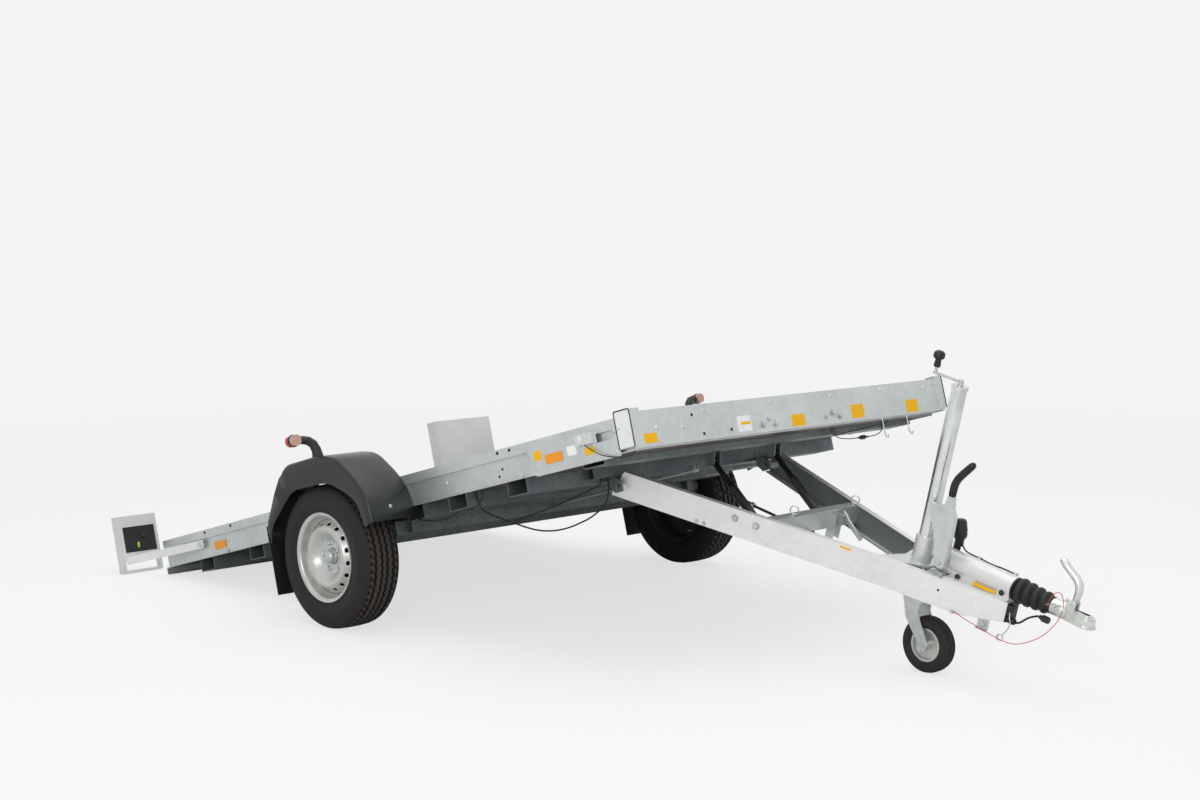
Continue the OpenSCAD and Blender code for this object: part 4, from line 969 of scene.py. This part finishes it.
# %% [markdown]
# ## The coupling
# The coupling head is pressed from thick plate: a flange below, a dome over the ball and a neck
# that grips the sliding tube. It grows from one round outline, drawn back into an egg, then
# lifted and inset in steps. Its lever is a bar of changing thickness.

# %% Coupling head and lever
BALL_P, HEAD_LOW = 1907, 92
head = bmesh.new()
outline = bmesh.ops.create_circle(head, cap_ends=True, radius=38, segments=48)["verts"]
for vert in outline:
    if vert.co.x < -6:
        vert.co.x = -6 + (vert.co.x + 6) * 3.4
bmesh.ops.translate(head, verts=outline, vec=(BALL_P, 0, HEAD_LOW))
base = head.faces[:]
for step, (lift, inset) in enumerate(((6, 6), (26, 7), (8, 9), (4, 8))):
    top = bmesh.ops.extrude_face_region(head, geom=base)["geom"]
    if step:
        bmesh.ops.delete(head, geom=base, context="FACES_ONLY")
    base = [g for g in top if isinstance(g, bmesh.types.BMFace)]
    bmesh.ops.translate(head, verts=list({v for f in base for v in f.verts}), vec=(0, 0, lift))
    bmesh.ops.inset_region(head, faces=base, thickness=inset, use_even_offset=True)
bmesh.ops.recalc_face_normals(head, faces=head.faces[:])
neck = turned([(25.3, 0.5), (31, 0.5), (32, 3), (32, 50), (29, 60), (22, 66), (0, 68)], 48)
gather(head, neck, shift(1764, 0, 115) @ turn(90, "Y"))
for y in (-13.5, 19):
    slab(head, shift(0, y, 0), 1826, 1858, 122, 168, out=5.5, corner=8, back=0)
bolt(head, shift(0, -19, 0), 1842, 158, 12)
bolt(head, shift(0, -31, 0), 1790, 118, 14)
keep("coupling_head_pressing", head, cast_zinc, "coupling", BAR, ["coupling_head"], sharp=40, modifiers=[
    ("BEVEL", {"width": 0.0018, "segments": 3, "limit_method": "ANGLE", "angle_limit": 0.6})])

lever = bmesh.new()
tube(lever, Matrix(), [(p, 0, q) for p, q in (
    (1842, 149), (1842, 154), (1848, 176), (1851, 204), (1846, 228), (1830, 247), (1806, 261), (1782, 276),
    (1766, 288), (1755, 293), (1750, 294))], [5, 11, 13, 15, 16, 16, 15, 15, 15, 11, 5], sides=16)
keep("coupling_lever", lever, cast_zinc, "handle", BAR, ["coupling_handle"], sharp=60)

# %% [markdown]
# ## Grip, knob, marker arms and plug holder
# These are parts that a hand or a mould shaped, so none has a straight edge. The grip is a sleeve
# over the brake lever, the crank ends in a mushroom knob, and the marker lamps stand on bent
# rubber arms that give way when they are knocked. The towing plug parks in a holder beside the
# column.

# %% Hand parts
grip = bmesh.new()
GRIP_Y = -62
tube(grip, Matrix(), [(p, GRIP_Y, q) for p, q in (
    (1280, 371), (1280, 374), (1280, 400), (1282, 424), (1290, 446), (1304, 467), (1322, 492), (1337, 512),
    (1343, 520), (1346, 524))], [11, 14, 15, 15, 15, 15, 15, 14, 11, 5], sides=18)
for step in range(5):
    tube(grip, shift(1280, GRIP_Y, 384 + 8 * step), loop(14.6, flat="z", count=18), 1.2, sides=6, closed=True)
keep("lever_grip", grip, nylon_black, "hand_brake", BAR, ["brake_grip"], sharp=60)

knob = turned([(0, 0), (12, 0), (13.5, 3), (13, 15), (11.5, 26), (13, 31), (19, 34), (22, 38), (22.5, 46),
               (21.5, 54), (17, 60), (10, 63.4), (0, 64)], 40)
keep("mushroom_knob", knob, nylon_black, "crank", BAR @ shift(1046, 0, 807), ["crank_knob"], sharp=60)

arms = bmesh.new()
for side, sign in SIDES:
    tube(arms, Matrix(), [(u, sign * y, w) for u, y, w in (
        (72, 1166, 426), (72, 1166, 440), (71, 1168, 462), (68, 1177, 486), (63, 1196, 503), (57, 1218, 509),
        (53, 1240, 510))], [26, 23, 21, 20, 19, 18, 17], sides=20)
    housing = turned([(0, -6), (24, -6), (27, -4), (27, 4), (24, 6), (0, 6)], 40)
    gather(arms, housing, shift(52, sign * 1263.5, 510) @ turn(90, "Y"))
keep("marker_lamp_arms", arms, nylon_black, "bed", BED, ["marker_arms"], sharp=50)

# %% Cable glands and green tags on the front of the rear lamps
for side, sign in SIDES:
    corners = [BED.inverted() @ v.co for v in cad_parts["tail_lamp_" + side].data.vertices]
    front = BED @ shift(max(c.x for c in corners) - 0.001, 0, 0) @ turn(90, "Z")
    gland, tag = bmesh.new(), bmesh.new()
    dome(gland, front, sign * 990, 330, 16, 12)
    slab(tag, front, sign * 1024 - 6, sign * 1024 + 6, 272, 298, out=1.0, corner=2)
    keep("lamp_gland_" + side, gland, nylon_black, "light_arm_" + side)
    keep("green_tag_" + side, tag, green_film, "light_arm_" + side)

# %% [markdown]
# ## Thin leads and deck screws
# Thin wires feed the front lamps. One leaves the right side lamp and slips under the rail, and
# two hang below the front channel, one with a small in-line connector. Rows of countersunk screws
# hold the floor board to the channels and beams below it.

# %% Leads of the front lamps
side_lamp_route = [(u, -y, w) for u, y, w in (
    (1530, 982, 214), (1536, 985, 205), (1546, 985, 196), (1560, 985, 186), (1577, 985, 175),
    (1593, 985, 165), (1608, 985, 156), (1620, 984, 150), (1636, 983, 144), (1658, 982, 138),
    (1686, 980, 131), (1714, 976, 126), (1740, 970, 124), (1756, 963, 127), (1764, 957, 132),
    (1766, 955, UNDER))]
cable("side_lamp_lead", side_lamp_route, 4, cable_pvc, BED, "bed", "")
connector = turned([(0, 0), (3.5, 0.5), (5, 12), (9, 20), (9.5, 34), (9.5, 46), (7, 52), (4, 60), (3.5, 70),
                    (0, 71)], 24)
LEAD_U = 1640
keep("lead_connector", connector, nylon_black, "bed", BED @ shift(LEAD_U, 513, 82) @ turn(-90, "X"), sharp=50)
straight_route = [(LEAD_U, y, w) for y, w in (
    (345, UNDER), (345, 128), (352, 113), (370, 108), (410, 109), (449, 112), (500, 115), (545, 118),
    (590, 121), (640, 125), (690, 127), (716, 129), (732, 133), (736, UNDER))]
hanging_route = [(LEAD_U, y, w) for y, w in (
    (362, UNDER), (362, 126), (365, 111), (375, 99), (392, 92), (412, 88), (436, 85), (460, 83), (490, 82),
    (514, 82), (549, 82), (584, 82), (620, 83), (650, 87), (672, 94), (685, 104), (690, 116), (691, 128),
    (691, UNDER))]
cable("panel_lead", straight_route, 4, cable_pvc, BED, "bed", "")
cable("connector_lead", hanging_route, 4, cable_pvc, BED, "bed", "")

# %% Rows of screws in the floor
screws = bmesh.new()
deck = BED @ shift(0, 0, 154) @ turn(-90, "X")
for u in (-1560, -1286, -842, -400, 400, 690, 1075, 1535):
    for i in range(-4, 5):
        head = turned([(0, 1.0), (4, 0.9), (6, 0.1), (6, -0.5)], 10)
        gather(screws, head, deck @ shift(u, 0, 215 * i) @ turn(90, "X"))
keep("deck_screws", screws, bright_zinc, "bed", sharp=60)

# %% Plug holder and the drawbar's end plate
holder = bmesh.new()
plug = turned([(0, 0), (14, 0), (16, 5), (17, 22), (21, 30), (26, 36), (27, 42), (27, 66), (25, 80), (23, 94),
               (19, 103), (12, 106), (0, 106)], 40)
parked = shift(1288, 50, 160) @ turn(-10, "Y")
gather(holder, plug, parked)
for height in (46, 62):
    tube(holder, parked @ shift(0, 0, height), loop(27, flat="z", count=24), 1.6, sides=6, closed=True)
slab(holder, shift(0, 54, 0), 1262, 1294, 62, 176, out=4, corner=3, back=0)
slab(holder, shift(0, 62, 0) @ turn(90, "X"), 1262, 1294, -98, -54, out=4, corner=3, back=0)
end_face = shift(1605, 0, 0) @ turn(90, "Z")
slab(holder, end_face, -36, 36, -14, 62, out=0.0, corner=6, back=5)
slab(holder, end_face, -36, -6, 26, 58, out=21, corner=4, back=0)
socket = turned([(0, 0), (13, 0), (13, 28), (10, 34), (0, 34)], 28)
gather(holder, socket, shift(1605, -20, -1) @ turn(90, "Y"))
keep("plug_park_and_end_plate", holder, nylon_black, "drawbar", BAR, ["plug_holder"], sharp=40)

# %% [markdown]
# ## Light and floor
# The photograph was taken in a white studio: broad soft light from above, a weaker one from the
# camera's side, and white all round. Two area lamps and an even sky give the same, at a level at
# which a colour comes out about as it was written. The Light Path node lets the camera and
# reflections see a room that is brighter than the light it sheds, so the zinc mirrors a white
# room without the trailer being burnt out.

# %% The white room
SHED, SHOWN = 0.55, 1.0
world = bpy.data.worlds.new("white_studio")
scene.world = world
world.use_nodes = True
sky = world.node_tree
sky.nodes.clear()
ray = add(sky, "LightPath")
camera_ray, mirrored, refracted = (ray.outputs["Is %s Ray" % kind]
                                   for kind in ("Camera", "Glossy", "Transmission"))
seen = add(sky, "Math", {0: camera_ray, 1: mirrored}, operation="MAXIMUM")
seen = add(sky, "Math", {0: seen.outputs[0], 1: refracted}, operation="MAXIMUM")
shed = add(sky, "Background", {"Color": (1, 1, 1, 1), "Strength": SHED})
room = add(sky, "Background", {"Color": srgb("#f4f4f4"), "Strength": SHOWN})
mixed = add(sky, "MixShader", {0: seen.outputs[0], 1: shed.outputs[0], 2: room.outputs[0]})
add(sky, "OutputWorld", {"Surface": mixed.outputs[0]})
print("sky sheds", SHED, "and shows", SHOWN)


# %% Two soft boxes
def softbox(name, spot, aim, size, power):
    lamp = bpy.data.lights.new(name, "AREA")
    lamp.shape = "SQUARE"
    lamp.size = size
    lamp.energy = power
    stand = put(name, lamp)
    stand.location = spot
    stand.rotation_euler = (Vector(aim) - Vector(spot)).to_track_quat("-Z", "Y").to_euler()
    print(name, "at", spot, power, "W")


softbox("overhead_softbox", (0.5, 0.0, 6.5), (0, 0, 0), 7.0, 170)
softbox("side_softbox", (4.5, -7.0, 3.2), (0.3, 0, 0.6), 3.5, 165)

# %% [markdown]
# ## The floor
# A studio floor runs up into the wall in one sweep, so no edge shows. Here the floor fades out
# with distance instead and lets the white room show through. It still takes the trailer's shadow.

# %% Lay the floor
FLOOR_R, FADE_FROM, FADE_TO, GLOW = 14.0, 4.5, 11.0, 0.7
paint = finish("matt_floor_paint", "#f4f4f4", 0.0, 0.85)
tree = paint.node_tree
away = add(tree, "VectorMath", {0: here(paint)}, operation="LENGTH")
fade = add(tree, "MapRange", {"Value": away.outputs["Value"], "From Min": FADE_FROM, "From Max": FADE_TO})
clear = add(tree, "BsdfTransparent")
matt = tree.nodes["Principled BSDF"].outputs[0]
bounce = add(tree, "Emission", {"Color": srgb("#fdfdfd"), "Strength": 1.0})
ray = add(tree, "LightPath")
glow = add(tree, "Math", {0: ray.outputs["Is Camera Ray"], 1: GLOW}, operation="MULTIPLY")
pale = add(tree, "MixShader", {0: glow.outputs[0], 1: matt, 2: bounce.outputs[0]})
blend = add(tree, "MixShader", {0: fade.outputs["Result"], 1: pale.outputs[0], 2: clear.outputs[0]})
tree.links.new(blend.outputs[0], tree.nodes["Material Output"].inputs["Surface"])
bm = bmesh.new()
bmesh.ops.create_circle(bm, cap_ends=True, radius=FLOOR_R, segments=96)
floor_mesh = bpy.data.meshes.new("studio_floor")
bm.to_mesh(floor_mesh)
bm.free()
floor_mesh.materials.append(paint)
floor = put("studio_floor", floor_mesh)
print("floor laid,", 2 * FLOOR_R, "m across")
